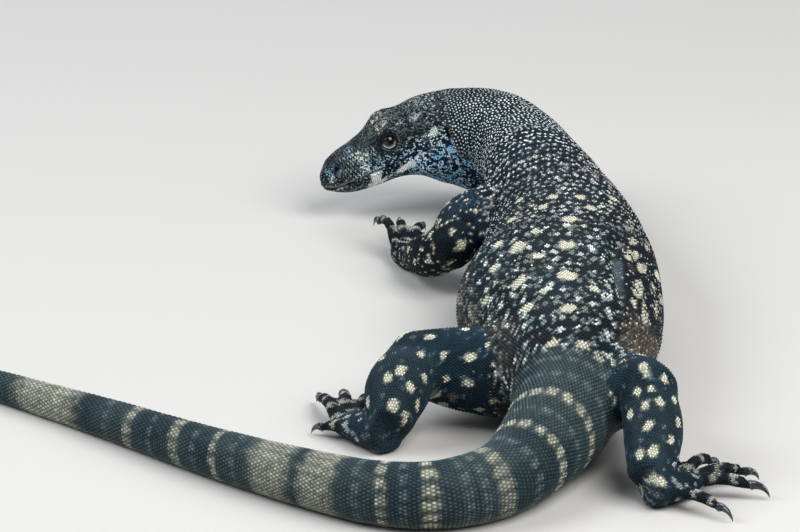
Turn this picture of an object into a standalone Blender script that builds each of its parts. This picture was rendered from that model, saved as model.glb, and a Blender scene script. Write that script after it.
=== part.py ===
"""A lace monitor lying on its belly, life size, as a still museum model.

The animal is laid out on a floor whose zero lies beside its left hand: +Y is the way the
trunk points, -X is the way the head and the tail turn, +Z is up. Lengths below are in
millimetres and are turned into metres where a point is made. At the end the whole model
is moved so that its origin is the middle of its footprint on the floor.
"""

import math

import bmesh
import bpy
import numpy as np
from mathutils import Vector

MM = 0.001
GAP = 0.3 * MM  # clear space between two pieces that touch
SINK = 0.6 * MM  # how far a resting form reaches below the floor before it is cut flat

COLLECTION = "lace_monitor"

# Head
HEAD_ROWS = 26
HEAD_SIDES = 28
HEAD_YAW = math.radians(14)  # the face turns towards -Y
HEAD_PITCH = math.radians(17)  # the snout points down
SNOUT_TIP = Vector((-49.8, 87.4, 24.8)) * MM
EYE_RADIUS = 5.4 * MM
EYE_PLACE = Vector((46.7, 12.9, 14.8)) * MM  # back from the snout tip, out, up
EYE_TILT = math.radians(12)  # the gaze lifts by this much above sideways
LID_RADII = Vector((5.8, 2.4, 5.4)) * MM  # along, out and up
LID_OUT = 3.2 * MM  # lids sit this far out from the eye's centre
LID_OPENING = Vector((3.8, 3.0, 3.7)) * MM
NOSTRIL_PLACE = Vector((10.6, 9.9, 7.0)) * MM
NOSTRIL_RADII = Vector((1.9, 2.2, 1.5)) * MM
NOSTRIL_RIM = Vector((3.9, 2.0, 3.5)) * MM
NOSTRIL_INSET = 1.8 * MM
EAR_PLACE = Vector((83.8, 23.8, 8.5)) * MM
EAR_RADII = Vector((2.4, 3.0, 4.8)) * MM
LIP_RADIUS = 1.5 * MM
LIP_DEPTH = 1.1 * MM  # the lip's middle lies this far inside the skin
MOUTH_RADIUS = 0.6 * MM
# The mouth line from the front of the snout to its corner: back from the tip, level
MOUTH_LINE = ((0.9, -4.4), (6, -4.7), (12, -4.2), (20, -3.2), (32, -1.0), (46, 1.2), (58, 3.0))
MOUTH_STEPS = 12
MOUTH_SIDES = 6

# Tail
TAIL_LENGTH = 930 * MM
TAIL_ROOT_RADIUS = 20.9 * MM
TAIL_TIP_RADIUS = 1.1 * MM
TAIL_TAPER = 1.55
TAIL_FLARE = 6 * MM  # the tail widens by this much where it leaves the trunk
TAIL_FLARE_LENGTH = 50 * MM
TAIL_NARROWING = 0.28  # the far tail is this much narrower than it is tall

# Colours of the hide and the eye
HEAD_COLOUR = (0.045, 0.055, 0.06)
TRUNK_COLOUR = (0.055, 0.075, 0.1)
LIMB_COLOUR = (0.04, 0.065, 0.09)
PAW_COLOUR = (0.03, 0.035, 0.045)
EYE_COLOUR = (0.02, 0.015, 0.01)

# Head sections: distance from the snout tip, half width, top, bottom, squareness
HEAD_SECTIONS = (
    (0.4, 3.4, 2.3, 3.6, 2.0),
    (2, 6.2, 5.0, 6.6, 2.1),
    (5.5, 9.0, 8.8, 8.7, 2.2),
    (12, 11.2, 13.0, 11.7, 2.4),
    (23, 13.2, 16.3, 13.9, 2.5),
    (34, 16.0, 18.6, 13.6, 2.7),
    (47, 19.3, 24.0, 12.6, 2.7),
    (60, 22.0, 26.4, 16.5, 2.6),
    (74, 23.6, 28.9, 29.0, 2.3),
    (88, 24.2, 27.0, 39.0, 2.2),
)

# Swellings on both sides of the head: distance from the tip, degrees above the side, length,
# spread in degrees, height; they are the brow, the ridge in front of it and the jaw muscle
HEAD_SWELLS = ((47.5, 57, 8.5, 17, 5.3), (33, 55, 7.5, 13, 0.9), (70, -8, 14, 28, 1.5))

# Neck and trunk sections: x, y, level of the widest point, half width, up, down, squareness
BODY_SECTIONS = (
    (57, 99, 56, 25.5, 24, 36, 2.1),
    (74, 72, 54, 27, 24, 35, 2.0),
    (82, 36, 51.5, 31, 26.5, 36, 2.0),
    (89, -4, 48, 37, 30, 44, 2.0),
    (97.5, -53, 36, 46, 39, 38, 2.05),
    (97.5, -98, 29, 54, 45, 31, 2.1),
    (92, -152, 27, 60, 47, 29, 2.1),
    (93, -201, 28, 55, 45, 30, 2.1),
    (94.5, -248, 31, 44, 41, 33, 2.1),
    (93, -285, 32, 34, 36, 33, 2.05),
    (87, -318, 29, 28, 30, 30, 2.0),
)

# Route of the tail over the floor: x, y
TAIL_ROUTE = (
    (75, -348),
    (52, -384),
    (18, -400),
    (-10, -395),
    (-45, -374),
    (-82, -346),
    (-115, -318),
    (-150, -286),
    (-188, -253),
    (-228, -220),
    (-285, -178),
    (-350, -138),
    (-420, -103),
    (-490, -66),
    (-555, -18),
    (-600, 35),
    (-628, 80),
)

# Where the body is parted, as distance along it from the snout tip, in millimetres
HEAD_END = 96
NECK_END = 207
CHEST_END = 332
TORSO_END = 502
TAIL_ENDS = (572, 652, 762, 902, 1062, 1242)


# Limbs from shoulder or hip to wrist or ankle: x, y, z, radius; the middle row is the elbow or knee
LEFT_ARM = ((64, -16, 43, 19), (43, -27, 40, 17), (31, -54, 32, 14.5), (21, -44, 24, 14), (8, -14, 11.5, 8))
RIGHT_ARM = ((106, -15, 43, 17), (115, 9, 34, 14), (127, 30, 25, 12.5), (126, 52, 20, 12.5), (119, 84, 11.5, 8))
LEFT_LEG = ((84, -262, 33, 27), (44, -251, 30, 25), (8, -253, 35, 18), (-2, -279, 27, 18), (-6, -298, 15, 12))
RIGHT_LEG = ((98, -256, 33, 24), (119, -283, 33, 22), (133, -319, 44, 17.5), (135, -344, 32, 16.5),
             (133, -370, 15, 12))

# Soles: x, y, z, half width, up, down
LEFT_PALM = ((8, -13.6, 11.3, 8, 8, 8), (6.5, -5, 9, 9.5, 7, 9.5), (5, 6, 7.5, 11.5, 6, 8),
             (4.5, 13, 7, 8, 4, 5))
RIGHT_PALM = ((119, 84.4, 11.4, 8, 8, 8), (117.5, 93, 9, 9.5, 7, 9.5), (115, 105, 7.5, 11.5, 6, 8),
              (114, 112, 7, 8, 4, 5))
LEFT_SOLE = ((-6, -300, 13, 12, 12, 12.5), (-9, -296, 12, 12.5, 10, 12.5), (-17, -285, 9.5, 13.5, 8, 10),
             (-24, -273, 8, 13.5, 6.5, 8.5), (-26, -266, 7.5, 9, 4, 5))
RIGHT_SOLE = ((131, -373, 13, 12, 11.5, 12.5), (136, -371, 12, 12.5, 10, 12.5), (143, -364, 9.5, 13, 8, 10),
              (150, -357, 8, 13, 6.5, 8.5), (155, -353, 7.5, 9, 4, 5))

SOLE_ROWS = 8
SOLE_SIDES = 14
LIMB_ROWS = 11

# Toes: base, heading, length, radius, knuckle height, tip height, claw length
LEFT_FINGERS = (
    ((-2, 6, 8), -21, 33, 3.1, 22, 17, 14),
    ((2, 11, 8), -4, 33, 3.2, 17, 14, 14),
    ((7, 10, 8), 14, 30, 3.1, 16, 13, 13),
    ((11, 7, 8), 36, 25, 3.0, 14, 11, 12),
    ((13, 0, 8), 66, 18, 2.9, 12, 9, 10),
)
RIGHT_FINGERS = (
    ((121, 104, 8), 22, 30, 3.1, 13, 8, 12),
    ((117, 109, 8), 2, 32, 3.2, 13, 8, 12),
    ((112, 109, 8), -16, 29, 3.1, 13, 8, 12),
    ((108, 105, 8), -38, 25, 3.0, 12, 8, 11),
    ((107, 98, 8), -68, 18, 2.9, 11, 7, 10),
)
LEFT_TOES = (
    ((-34, -274, 7), -15, 44, 3.6, 12, 7, 13),
    ((-29, -269, 7), -4, 43, 3.7, 12, 7, 13),
    ((-23, -268, 7), 9, 35, 3.5, 12, 7, 12),
    ((-16, -272, 7), 27, 26, 3.3, 11, 7, 11),
    ((-24, -288, 7), -58, 25, 3.3, 9, 6, 11),
)
RIGHT_TOES = (
    ((146, -372, 7), 130, 32, 3.4, 10, 7, 13),
    ((154, -358, 7), 99, 37, 3.7, 11, 8, 14),
    ((156, -352, 7), 72, 34, 3.6, 11, 7, 12),
    ((152, -346, 7), 42, 27, 3.4, 12, 7, 11),
    ((145, -347, 7), 12, 20, 3.2, 11, 7, 10),
)
TOE_SIDES = 8
TOE_ROWS = 6
KNUCKLE_AT = 0.45  # the knuckle's place along a toe
BEND_AT = 0.78  # where the toe bends down to its tip
TOE_WIDTHS = (1.1, 1, 0.92, 0.7)  # shares of the radius at base, knuckle, bend and tip

CLAW_SHARE = 0.62  # the claw's radius as a share of its toe's
CLAW_BACK = 1.2  # how many toe radii the claw starts inside the toe's tip
CLAW_STEPS = 5
CLAW_SIDES = 5
CLAW_RISE = 20  # the claw leaves its toe rising by this many degrees
CLAW_BEND = 95  # and bends down by this many
CLAW_TALL = 1.3  # height over width
CLAW_TAPER = 0.8
CLAW_POINT = 0.3  # the radius of its point


def smooth(knots, values, at):
    """A smooth curve through the values at the knots, read at the given places."""
    knots = np.asarray(knots, float)
    values = np.asarray(values, float)
    step = np.diff(knots)
    slope = np.diff(values, axis=0) / step[:, None]
    tangent = np.empty_like(values)
    tangent[0] = slope[0]
    tangent[-1] = slope[-1]
    before = step[:-1, None]
    after = step[1:, None]
    tangent[1:-1] = (slope[:-1] * after + slope[1:] * before) / (before + after)
    piece = np.clip(np.searchsorted(knots, at, side="right") - 1, 0, len(step) - 1)
    width = step[piece][:, None]
    t = ((at - knots[piece]) / step[piece])[:, None]
    start = values[piece]
    end = values[piece + 1]
    leave = tangent[piece] * width
    arrive = tangent[piece + 1] * width
    return (
        (2 * t**3 - 3 * t**2 + 1) * start
        + (t**3 - 2 * t**2 + t) * leave
        + (3 * t**2 - 2 * t**3) * end
        + (t**3 - t**2) * arrive
    )


class Path:
    """A centre line with its sections: each row is x, y, z, half width, up, down, squareness."""

    def __init__(self, rows):
        rows = np.asarray(rows, float)
        steps = np.linalg.norm(np.diff(rows[:, :3], axis=0), axis=1)
        knots = np.concatenate([[0], np.cumsum(steps)])
        fine = np.linspace(0, knots[-1], 4000)
        self.rows = smooth(knots, rows, fine)
        moved = np.linalg.norm(np.diff(self.rows[:, :3], axis=0), axis=1)
        self.arc = np.concatenate([[0], np.cumsum(moved)])
        self.length = self.arc[-1]
        self.knot_arc = np.interp(knots, fine, self.arc)

    def at(self, distance):
        """The row at a distance along the path."""
        return np.array([np.interp(distance, self.arc, column) for column in self.rows.T])

    def frame(self, distance):
        """Centre, side, up and section at a distance along the path, which runs on straight past its ends."""
        reach = 0.5 * MM
        past = distance - min(max(distance, 0), self.length)
        distance -= past
        section = self.at(distance)
        along = self.at(min(distance + reach, self.length))[:3] - self.at(max(distance - reach, 0))[:3]
        along /= np.linalg.norm(along)
        side = np.cross(along, (0, 0, 1))
        side /= np.linalg.norm(side)
        return section[:3] + along * past, side, np.cross(side, along), section[3:]


def ring(path, distance, sides, grow=0, swells=()):
    """The outline of a section: a superellipse whose upper and lower halves differ, with swellings."""
    centre, side, up, (half_width, rise, drop, square) = path.frame(distance)
    half_width, rise, drop = half_width + grow, rise + grow, drop + grow
    angle = np.linspace(0, 2 * math.pi, sides, endpoint=False)
    across = np.sign(np.cos(angle)) * np.abs(np.cos(angle)) ** (2 / square)
    high = np.sign(np.sin(angle)) * np.abs(np.sin(angle)) ** (2 / square)
    across *= half_width
    high = np.where(high > 0, high * rise, high * drop)
    for place, level, length, spread, height in swells:
        near = math.exp(-(((distance / MM - place) / length) ** 2)) * height * MM
        swell = np.zeros(sides)
        for middle in (level, 180 - level):
            apart = (np.degrees(angle) - middle + 180) % 360 - 180
            swell += near * np.exp(-((apart / spread) ** 2))
        reach = np.hypot(across, high)
        across, high = across * (1 + swell / reach), high * (1 + swell / reach)
    return centre + np.outer(across, side) + np.outer(high, up)


def add_object(name, bm):
    """An object of a finished bmesh, in triangles, with its faces turned outwards."""
    mesh = bpy.data.meshes.new(name)
    bmesh.ops.triangulate(bm, faces=bm.faces)
    bmesh.ops.recalc_face_normals(bm, faces=bm.faces)
    bm.to_mesh(mesh)
    bm.free()
    mesh.shade_smooth()
    made = bpy.data.objects.new(name, mesh)
    bpy.context.scene.collection.objects.link(made)
    return made


def loft(name, path, distances, sides, on_floor=False, grow=0, swells=()):
    """A closed skin over the sections of a path at some distances along it, grown by a clearance."""
    bm = bmesh.new()
    rings = []
    for distance in distances:
        points = ring(path, distance, sides, grow, swells)
        if on_floor:
            points[:, 2] = np.maximum(points[:, 2], 0)
        rings.append([bm.verts.new(point) for point in points])
    for near, far in zip(rings, rings[1:]):
        for i in range(sides):
            j = (i + 1) % sides
            bm.faces.new((near[i], near[j], far[j], far[i]))
    bm.faces.new(rings[0])
    bm.faces.new(rings[-1])
    return add_object(name, bm)


def replace_mesh(target):
    """Turn an object's modifiers into its mesh."""
    bpy.context.view_layer.update()
    graph = bpy.context.evaluated_depsgraph_get()
    mesh = bpy.data.meshes.new_from_object(target.evaluated_get(graph))
    old = target.data
    target.modifiers.clear()
    target.data = mesh
    bpy.data.meshes.remove(old)
    mesh.name = target.name


def combine(target, others, operation):
    """One Boolean of the target with a collection of closed meshes, which are then removed."""
    tools = bpy.data.collections["cutters"]
    for other in others:
        tools.objects.link(other)
        bpy.context.scene.collection.objects.unlink(other)
    boolean = target.modifiers.new("combine", "BOOLEAN")
    boolean.operation = operation
    boolean.operand_type = "COLLECTION"
    boolean.collection = tools
    boolean.solver = "MANIFOLD"
    replace_mesh(target)
    for other in others:
        mesh = other.data
        bpy.data.objects.remove(other)
        bpy.data.meshes.remove(mesh)
    keep_largest(target)


def keep_largest(target):
    """Drop every closed surface but the largest; faces belong together where they share an edge."""
    bm = bmesh.new()
    bm.from_mesh(target.data)
    left = set(bm.faces)
    pieces = []
    while left:
        piece = []
        front = [left.pop()]
        while front:
            face = front.pop()
            piece.append(face)
            for edge in face.edges:
                for other in edge.link_faces:
                    if other in left:
                        left.remove(other)
                        front.append(other)
        pieces.append(piece)
    pieces.sort(key=lambda piece: sum(face.calc_area() for face in piece))
    for piece in pieces[:-1]:
        bmesh.ops.delete(bm, geom=piece, context="FACES")
    bm.to_mesh(target.data)
    bm.free()


def floor_block():
    """A block whose top is the floor, for cutting flats."""
    bm = bmesh.new()
    bmesh.ops.create_cube(bm, size=1)
    for vert in bm.verts:
        vert.co.x *= 3
        vert.co.y *= 3
        vert.co.z = vert.co.z * 0.1 - 0.05
    return add_object("floor_block", bm)


def ball(name, centre, radii, axes=None, segments=16, rows=9):
    """An ellipsoid, turned to three given axes."""
    bm = bmesh.new()
    bmesh.ops.create_uvsphere(bm, u_segments=segments, v_segments=rows, radius=1)
    axes = axes or (Vector((1, 0, 0)), Vector((0, 1, 0)), Vector((0, 0, 1)))
    for vert in bm.verts:
        x, y, z = vert.co
        vert.co = centre + axes[0] * x * radii[0] + axes[1] * y * radii[1] + axes[2] * z * radii[2]
    return add_object(name, bm)


def tube(name, points, widths, sides, count, flat=1.0):
    """A tapering toe or claw through a few points; flat is height over width."""
    rows = []
    for point, width in zip(points, widths):
        rows.append((*(Vector(point) * MM), width * MM, width * flat * MM, width * flat * MM, 2.0))
    path = Path(rows)
    return loft(name, path, np.linspace(0, path.length, count), sides)


def finish_part(made, colour, roughness=0.5):
    """Give a finished sub-part its own material and put it in the animal's collection."""
    coat = bpy.data.materials.new(made.name)
    coat.use_nodes = True
    shader = coat.node_tree.nodes["Principled BSDF"]
    shader.inputs["Base Color"].default_value = (*colour, 1)
    shader.inputs["Roughness"].default_value = roughness
    made.data.materials.clear()
    made.data.materials.append(coat)
    bpy.context.scene.collection.objects.unlink(made)
    bpy.data.collections[COLLECTION].objects.link(made)


def spine_path():
    """Snout, head, neck, trunk and tail as one path."""
    forward = head_axes()[0]
    rows = []
    for along, half, top, bottom, square in HEAD_SECTIONS:
        centre = SNOUT_TIP - forward * along * MM
        rows.append((*centre, half * MM, top * MM, bottom * MM, square))
    for x, y, z, half, rise, drop, square in BODY_SECTIONS:
        rows.append((x * MM, y * MM, z * MM, half * MM, rise * MM, drop * MM, square))
    place = Vector((BODY_SECTIONS[-1][0], BODY_SECTIONS[-1][1], 0)) * MM
    run = 0
    for x, y in TAIL_ROUTE:
        here = Vector((x, y, 0)) * MM
        run += (here - place).length
        place = here
        left = max(1 - run / TAIL_LENGTH, 0)
        flare = TAIL_FLARE * math.exp(-((run / TAIL_FLARE_LENGTH) ** 2))
        tall = TAIL_ROOT_RADIUS * left**TAIL_TAPER + TAIL_TIP_RADIUS + flare
        wide = tall * (1 - TAIL_NARROWING * min(2 * run / TAIL_LENGTH, 1))
        rows.append((here.x, here.y, tall - SINK, wide, tall, tall, 2.0))
    return Path(rows)


def head_axes():
    """The head's forward, left and up directions."""
    level = math.cos(HEAD_PITCH)
    forward = Vector((-math.cos(HEAD_YAW) * level, -math.sin(HEAD_YAW) * level, -math.sin(HEAD_PITCH)))
    left = Vector((0, 0, 1)).cross(forward).normalized()
    return forward, left, forward.cross(left)


def head_point(along, left, up):
    """A place on the head: back from the snout tip, to the left and up, in metres."""
    forward, to_left, to_up = head_axes()
    return SNOUT_TIP - forward * along + to_left * left + to_up * up


def head_ball(name, place, radii, side, tilt=0, segments=16, rows=9):
    """An ellipsoid on one side of the head: its radii are along, out and up before it is tilted."""
    forward, left, up = head_axes()
    out = left * side
    axes = (forward, out * math.cos(tilt) + up * math.sin(tilt), up * math.cos(tilt) - out * math.sin(tilt))
    return ball(name, head_point(place.x, place.y * side, place.z), radii, axes, segments, rows)


def head_half_width(along, level):
    """Half width of the head at a distance from the snout tip and a level, all in millimetres."""
    knots = [row[0] for row in HEAD_SECTIONS]
    half, top, bottom, square = smooth(knots, [row[1:] for row in HEAD_SECTIONS], np.array([along]))[0]
    share = abs(level) / (top if level > 0 else bottom)
    return half * max(1 - share**square, 0) ** (1 / square)


def mouth_tube(name, radius, depth):
    """A tube round the mouth line from corner to corner, its middle a depth inside the skin."""
    knots, levels = np.array(MOUTH_LINE).T
    stations = knots[0] + (knots[-1] - knots[0]) * np.linspace(0, 1, MOUTH_STEPS) ** 2
    level_at = smooth(knots, levels[:, None], stations)[:, 0]
    outline = [(along, head_half_width(along, level)) for along, level in zip(stations, level_at)]
    outline[0] = (stations[0], 0)
    outline = np.array(outline) * MM
    tangent = np.gradient(outline, axis=0)
    tangent /= np.linalg.norm(tangent, axis=1)[:, None]
    tangent[0] = (0, 1)
    outline += np.column_stack([tangent[:, 1], -tangent[:, 0]]) * depth
    level_at *= MM
    places = [head_point(along, half, level) for (along, half), level in zip(outline[::-1], level_at[::-1])]
    places += [head_point(along, -half, level) for (along, half), level in zip(outline[1:], level_at[1:])]
    path = Path([(*place, radius, radius, radius, 2.0) for place in places])
    return loft(name, path, path.knot_arc, MOUTH_SIDES)


def make_head(spine):
    """The head with lips, lids and nostril rims, its openings cut in, and its two eyes."""
    head = loft("head", spine, np.linspace(0, HEAD_END * MM, HEAD_ROWS), HEAD_SIDES, swells=HEAD_SWELLS)
    forms = [mouth_tube("lip", LIP_RADIUS, LIP_DEPTH)]
    cutters = [mouth_tube("mouth", MOUTH_RADIUS, 0)]
    look = Vector((0, math.cos(EYE_TILT), math.sin(EYE_TILT)))
    lid_place = EYE_PLACE + look * LID_OUT
    opening_place = EYE_PLACE + look * (LID_OUT + LID_OPENING.y)
    rim_place = NOSTRIL_PLACE - Vector((0, NOSTRIL_INSET, 0))
    for side in (1, -1):
        forms.append(head_ball("lid", lid_place, LID_RADII, side, EYE_TILT))
        forms.append(head_ball("nostril_rim", rim_place, NOSTRIL_RIM, side, segments=10, rows=6))
        cutters.append(head_ball("socket", EYE_PLACE, [EYE_RADIUS + GAP] * 3, side))
        cutters.append(head_ball("lid_opening", opening_place, LID_OPENING, side, EYE_TILT))
        cutters.append(head_ball("nostril", NOSTRIL_PLACE, NOSTRIL_RADII, side, segments=8, rows=5))
        cutters.append(head_ball("ear", EAR_PLACE, EAR_RADII, side, segments=12, rows=6))
        eye = head_ball("eye_left" if side == 1 else "eye_right", EYE_PLACE, [EYE_RADIUS] * 3, side)
        finish_part(eye, EYE_COLOUR, 0.1)
    combine(head, forms, "UNION")
    combine(head, cutters, "DIFFERENCE")
    finish_part(head, HEAD_COLOUR)


def claw(name, root, direction, length, radius):
    """A curved, tapering claw that bends down from its root to its tip."""
    points = []
    widths = []
    for step in range(CLAW_STEPS + 1):
        share = step / CLAW_STEPS
        turn = math.radians(CLAW_RISE - CLAW_BEND * share)
        if step:
            ahead = direction * math.cos(turn) + Vector((0, 0, math.sin(turn)))
            here = points[-1] + ahead * length / CLAW_STEPS
        else:
            here = root
        points.append(here)
        widths.append(max(radius * (1 - share) ** CLAW_TAPER, CLAW_POINT))
    return tube(name, points, widths, sides=CLAW_SIDES, flat=CLAW_TALL, count=CLAW_STEPS + 1)


def toe(base, heading, length, radius, rise, tip_height, claw_length):
    """A toe from its base over a raised knuckle to its claw; heading in degrees from +Y to +X."""
    turn = math.radians(heading)
    way = Vector((math.sin(turn), math.cos(turn), 0))
    start = Vector(base)
    end = start + way * length
    end.z = tip_height
    knuckle = start.lerp(end, KNUCKLE_AT)
    knuckle.z = rise
    bend = start.lerp(end, BEND_AT)
    bend.z = (rise + tip_height) / 2
    widths = [radius * share for share in TOE_WIDTHS]
    body = tube("toe", (start, knuckle, bend, end), widths, sides=TOE_SIDES, count=TOE_ROWS)
    root = end - way * radius * CLAW_BACK
    root.z = tip_height
    return [body, claw("claw", root, way, claw_length, radius * CLAW_SHARE)]


def sole_path(sole):
    """The path of a palm or sole from x, y, z, half width, up and down rows."""
    rows = []
    for x, y, z, half, rise, drop in sole:
        rows.append((x * MM, y * MM, z * MM, half * MM, rise * MM, drop * MM, 2.2))
    return Path(rows)


def sole_clearance(path):
    """The sole's own shape grown by the gap, to cut the limb above it clear."""
    distances = np.linspace(-GAP, path.length + GAP, SOLE_ROWS)
    return loft("clearance", path, distances, SOLE_SIDES, grow=GAP)


def paw(name, path, toes):
    """A hand or a foot: its sole, toes and claws in one piece, flat where it meets the floor."""
    made = loft(name, path, np.linspace(0, path.length, SOLE_ROWS), SOLE_SIDES)
    pieces = []
    for each in toes:
        pieces += toe(*each)
    combine(made, pieces, "UNION")
    combine(made, [floor_block()], "DIFFERENCE")
    finish_part(made, PAW_COLOUR)


def domed(points):
    """Rows of x, y, z, radius with a rounded end past the last one, for an elbow or a knee."""
    last = Vector(points[-1][:3])
    radius = points[-1][3]
    way = (last - Vector(points[-2][:3])).normalized()
    rows = list(points)
    for reach, width in ((0.5, 0.87), (0.8, 0.6), (0.95, 0.31), (1.0, 0.1)):
        rows.append((*(last + way * reach * radius), width * radius))
    return rows


def limb_path(points):
    """A limb's path from x, y, z and radius rows."""
    rows = []
    for x, y, z, radius in points:
        rows.append((x * MM, y * MM, z * MM, radius * MM, radius * MM, radius * MM, 2.0))
    return Path(rows)


def limb_pair(names, points, sides, trunk_cutters, sole_cutter):
    """The upper and lower length of a limb, bent at the middle row; the lower one cups the joint."""
    upper_path = limb_path(domed(points[:3]))
    joint_row = (*points[2][:3], points[2][3] * 0.86)
    lower_path = limb_path((joint_row, *points[3:]))
    upper = loft(names[0], upper_path, np.linspace(0, upper_path.length, LIMB_ROWS), sides, on_floor=True)
    lower = loft(names[1], lower_path, np.linspace(0, lower_path.length, LIMB_ROWS), sides, on_floor=True)
    distances = np.linspace(0, upper_path.length + GAP, LIMB_ROWS)
    joint = loft("clearance", upper_path, distances, sides, grow=GAP)
    combine(upper, trunk_cutters, "DIFFERENCE")
    combine(lower, [joint, sole_cutter], "DIFFERENCE")
    finish_part(upper, LIMB_COLOUR)
    finish_part(lower, LIMB_COLOUR)


def clear_scene():
    """Remove what the scene starts with."""
    for old in list(bpy.data.objects):
        bpy.data.objects.remove(old)


def stand_on_origin():
    """Move everything so that the middle of the footprint is the origin."""
    low = np.full(3, np.inf)
    high = np.full(3, -np.inf)
    for made in bpy.data.objects:
        points = np.empty(len(made.data.vertices) * 3)
        made.data.vertices.foreach_get("co", points)
        points = points.reshape(-1, 3)
        low = np.minimum(low, points.min(axis=0))
        high = np.maximum(high, points.max(axis=0))
    middle = Vector(((low[0] + high[0]) / 2, (low[1] + high[1]) / 2, 0))
    for made in bpy.data.objects:
        for vert in made.data.vertices:
            vert.co -= middle


def trunk_pieces(spine):
    """Name, start, end, number of rings and sides of each length of neck, trunk and tail."""
    pieces = [("neck", HEAD_END, NECK_END, 14, 24), ("chest", NECK_END, CHEST_END, 13, 28)]
    pieces.append(("torso", CHEST_END, TORSO_END, 16, 28))
    start = TORSO_END
    for number, end in enumerate((*TAIL_ENDS, spine.length / MM), 1):
        count = max(6, round((end - start) / 14))
        pieces.append((f"tail_{number}", start, end, count, 20 if number < 3 else 16 if number < 5 else 12))
        start = end
    return pieces


def trunk_clearance(pieces, spine):
    """The neck, trunk and tail root grown by the gap, to cut the limbs clear; they overlap each other."""
    cutters = []
    overlap = 1 * MM
    for name, start, end, count, sides in pieces[:4]:
        distances = np.linspace(start * MM - overlap, end * MM, count)
        cutters.append(loft("clearance", spine, distances, sides, grow=GAP))
    return cutters


def main():
    """Build every sub-part and set the animal down on its origin."""
    clear_scene()
    for name in (COLLECTION, "cutters"):
        bpy.context.scene.collection.children.link(bpy.data.collections.new(name))
    spine = spine_path()
    make_head(spine)
    pieces = trunk_pieces(spine)
    for name, start, end, count, sides in pieces:
        made = loft(name, spine, np.linspace(start * MM + GAP, end * MM, count), sides, on_floor=True)
        finish_part(made, TRUNK_COLOUR)
    for side, arm, palm, fingers, leg, sole, toes in (
        ("left", LEFT_ARM, LEFT_PALM, LEFT_FINGERS, LEFT_LEG, LEFT_SOLE, LEFT_TOES),
        ("right", RIGHT_ARM, RIGHT_PALM, RIGHT_FINGERS, RIGHT_LEG, RIGHT_SOLE, RIGHT_TOES),
    ):
        for ends, limb, under, digits, sides in (
            (("upper_arm", "forearm", "hand"), arm, palm, fingers, 14),
            (("thigh", "shank", "foot"), leg, sole, toes, 16),
        ):
            upper, lower, end = (f"{word}_{side}" for word in ends)
            base = sole_path(under)
            paw(end, base, digits)
            cutters = trunk_clearance(pieces, spine)
            limb_pair((upper, lower), limb, sides, cutters, sole_clearance(base))
    stand_on_origin()


main()
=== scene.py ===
# %% [markdown]
# # A lace monitor in its skin of scales
# The animal's solids come packed from the CAD program. This lesson dresses them: one smooth skin
# over the flesh, some 76,000 small scales that follow the body, two eyes and twenty claws.
# Everything stays in the frame of the solids, in metres.

import math

import bmesh
import bpy
import numpy as np
from mathutils import Matrix, Vector
from mathutils.bvhtree import BVHTree
from mathutils.kdtree import KDTree


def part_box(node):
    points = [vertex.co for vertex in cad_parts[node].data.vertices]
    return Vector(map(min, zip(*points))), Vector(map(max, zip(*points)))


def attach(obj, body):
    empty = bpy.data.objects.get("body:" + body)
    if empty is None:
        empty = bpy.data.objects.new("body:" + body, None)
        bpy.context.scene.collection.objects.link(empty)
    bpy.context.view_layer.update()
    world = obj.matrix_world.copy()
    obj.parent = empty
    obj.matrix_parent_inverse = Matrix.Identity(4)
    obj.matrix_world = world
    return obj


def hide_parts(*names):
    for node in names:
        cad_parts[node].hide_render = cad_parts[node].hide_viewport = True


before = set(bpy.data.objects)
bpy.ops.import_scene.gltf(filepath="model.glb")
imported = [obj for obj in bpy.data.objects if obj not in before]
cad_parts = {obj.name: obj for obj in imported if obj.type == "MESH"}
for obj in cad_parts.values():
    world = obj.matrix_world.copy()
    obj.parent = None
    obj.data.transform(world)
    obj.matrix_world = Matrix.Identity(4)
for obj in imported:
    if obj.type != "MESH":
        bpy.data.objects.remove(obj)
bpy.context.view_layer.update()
print("solids:", len(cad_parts), "nodes")

# %% [markdown]
# ## Where things are
# The solids were laid out around a floor point beside the left hand, then moved as a whole. The left
# eye's centre tells how far, so every place below can be given in the layout's own millimetres.

# %% The head's axes and the layout's shift
MM = 0.001
HEAD_YAW = math.radians(14)
HEAD_PITCH = math.radians(17)
SNOUT = np.array((-49.8, 87.4, 24.8))
FORWARD = np.array((-math.cos(HEAD_YAW) * math.cos(HEAD_PITCH),
                    -math.sin(HEAD_YAW) * math.cos(HEAD_PITCH),
                    -math.sin(HEAD_PITCH)))
LEFT = np.cross((0, 0, 1), FORWARD)
LEFT = LEFT / np.linalg.norm(LEFT)
UP = np.cross(FORWARD, LEFT)
EYE_PLACE = (46.7, 12.9, 14.8)
EYE_RADIUS = 5.4


def on_head(along, out, up):
    """A point of the layout, in millimetres, given back from the snout, out to the left and up."""
    return SNOUT - FORWARD * along + LEFT * out + UP * up


eye_low, eye_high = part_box("eye_left")
SHIFT = np.array((eye_low + eye_high) / 2) / MM - on_head(*EYE_PLACE)
print("the layout moved by", np.round(SHIFT, 2), "mm")

# %% [markdown]
# ## The camera
# The photograph was taken from a low place beside the animal with a long lens, so near and far scales
# have almost the same size. A 200 mm lens at 2.7 m, tilted 20 degrees down, gives the same picture.

# %% Place the camera
LENS = 200
DISTANCE = 2.71
TILT = math.radians(20)
camera_data = bpy.data.cameras.new("camera")
camera_data.lens = LENS
camera_data.clip_end = 20
camera = bpy.data.objects.new("camera", camera_data)
bpy.context.scene.collection.objects.link(camera)
target = Vector(SHIFT * MM)
camera.location = target + Vector((0, -math.cos(TILT), math.sin(TILT))) * DISTANCE
camera.rotation_euler = (math.pi / 2 - TILT, 0, 0)
bpy.context.scene.camera = camera
print("camera at", np.round(camera.location, 3))

# %% [markdown]
# ## Floor and light
# A plain pale floor and large soft lamps show the form without hard shadows. A broad lamp on the
# camera's right is the strongest, a second fills from the left, and a weak third stands behind.

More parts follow.
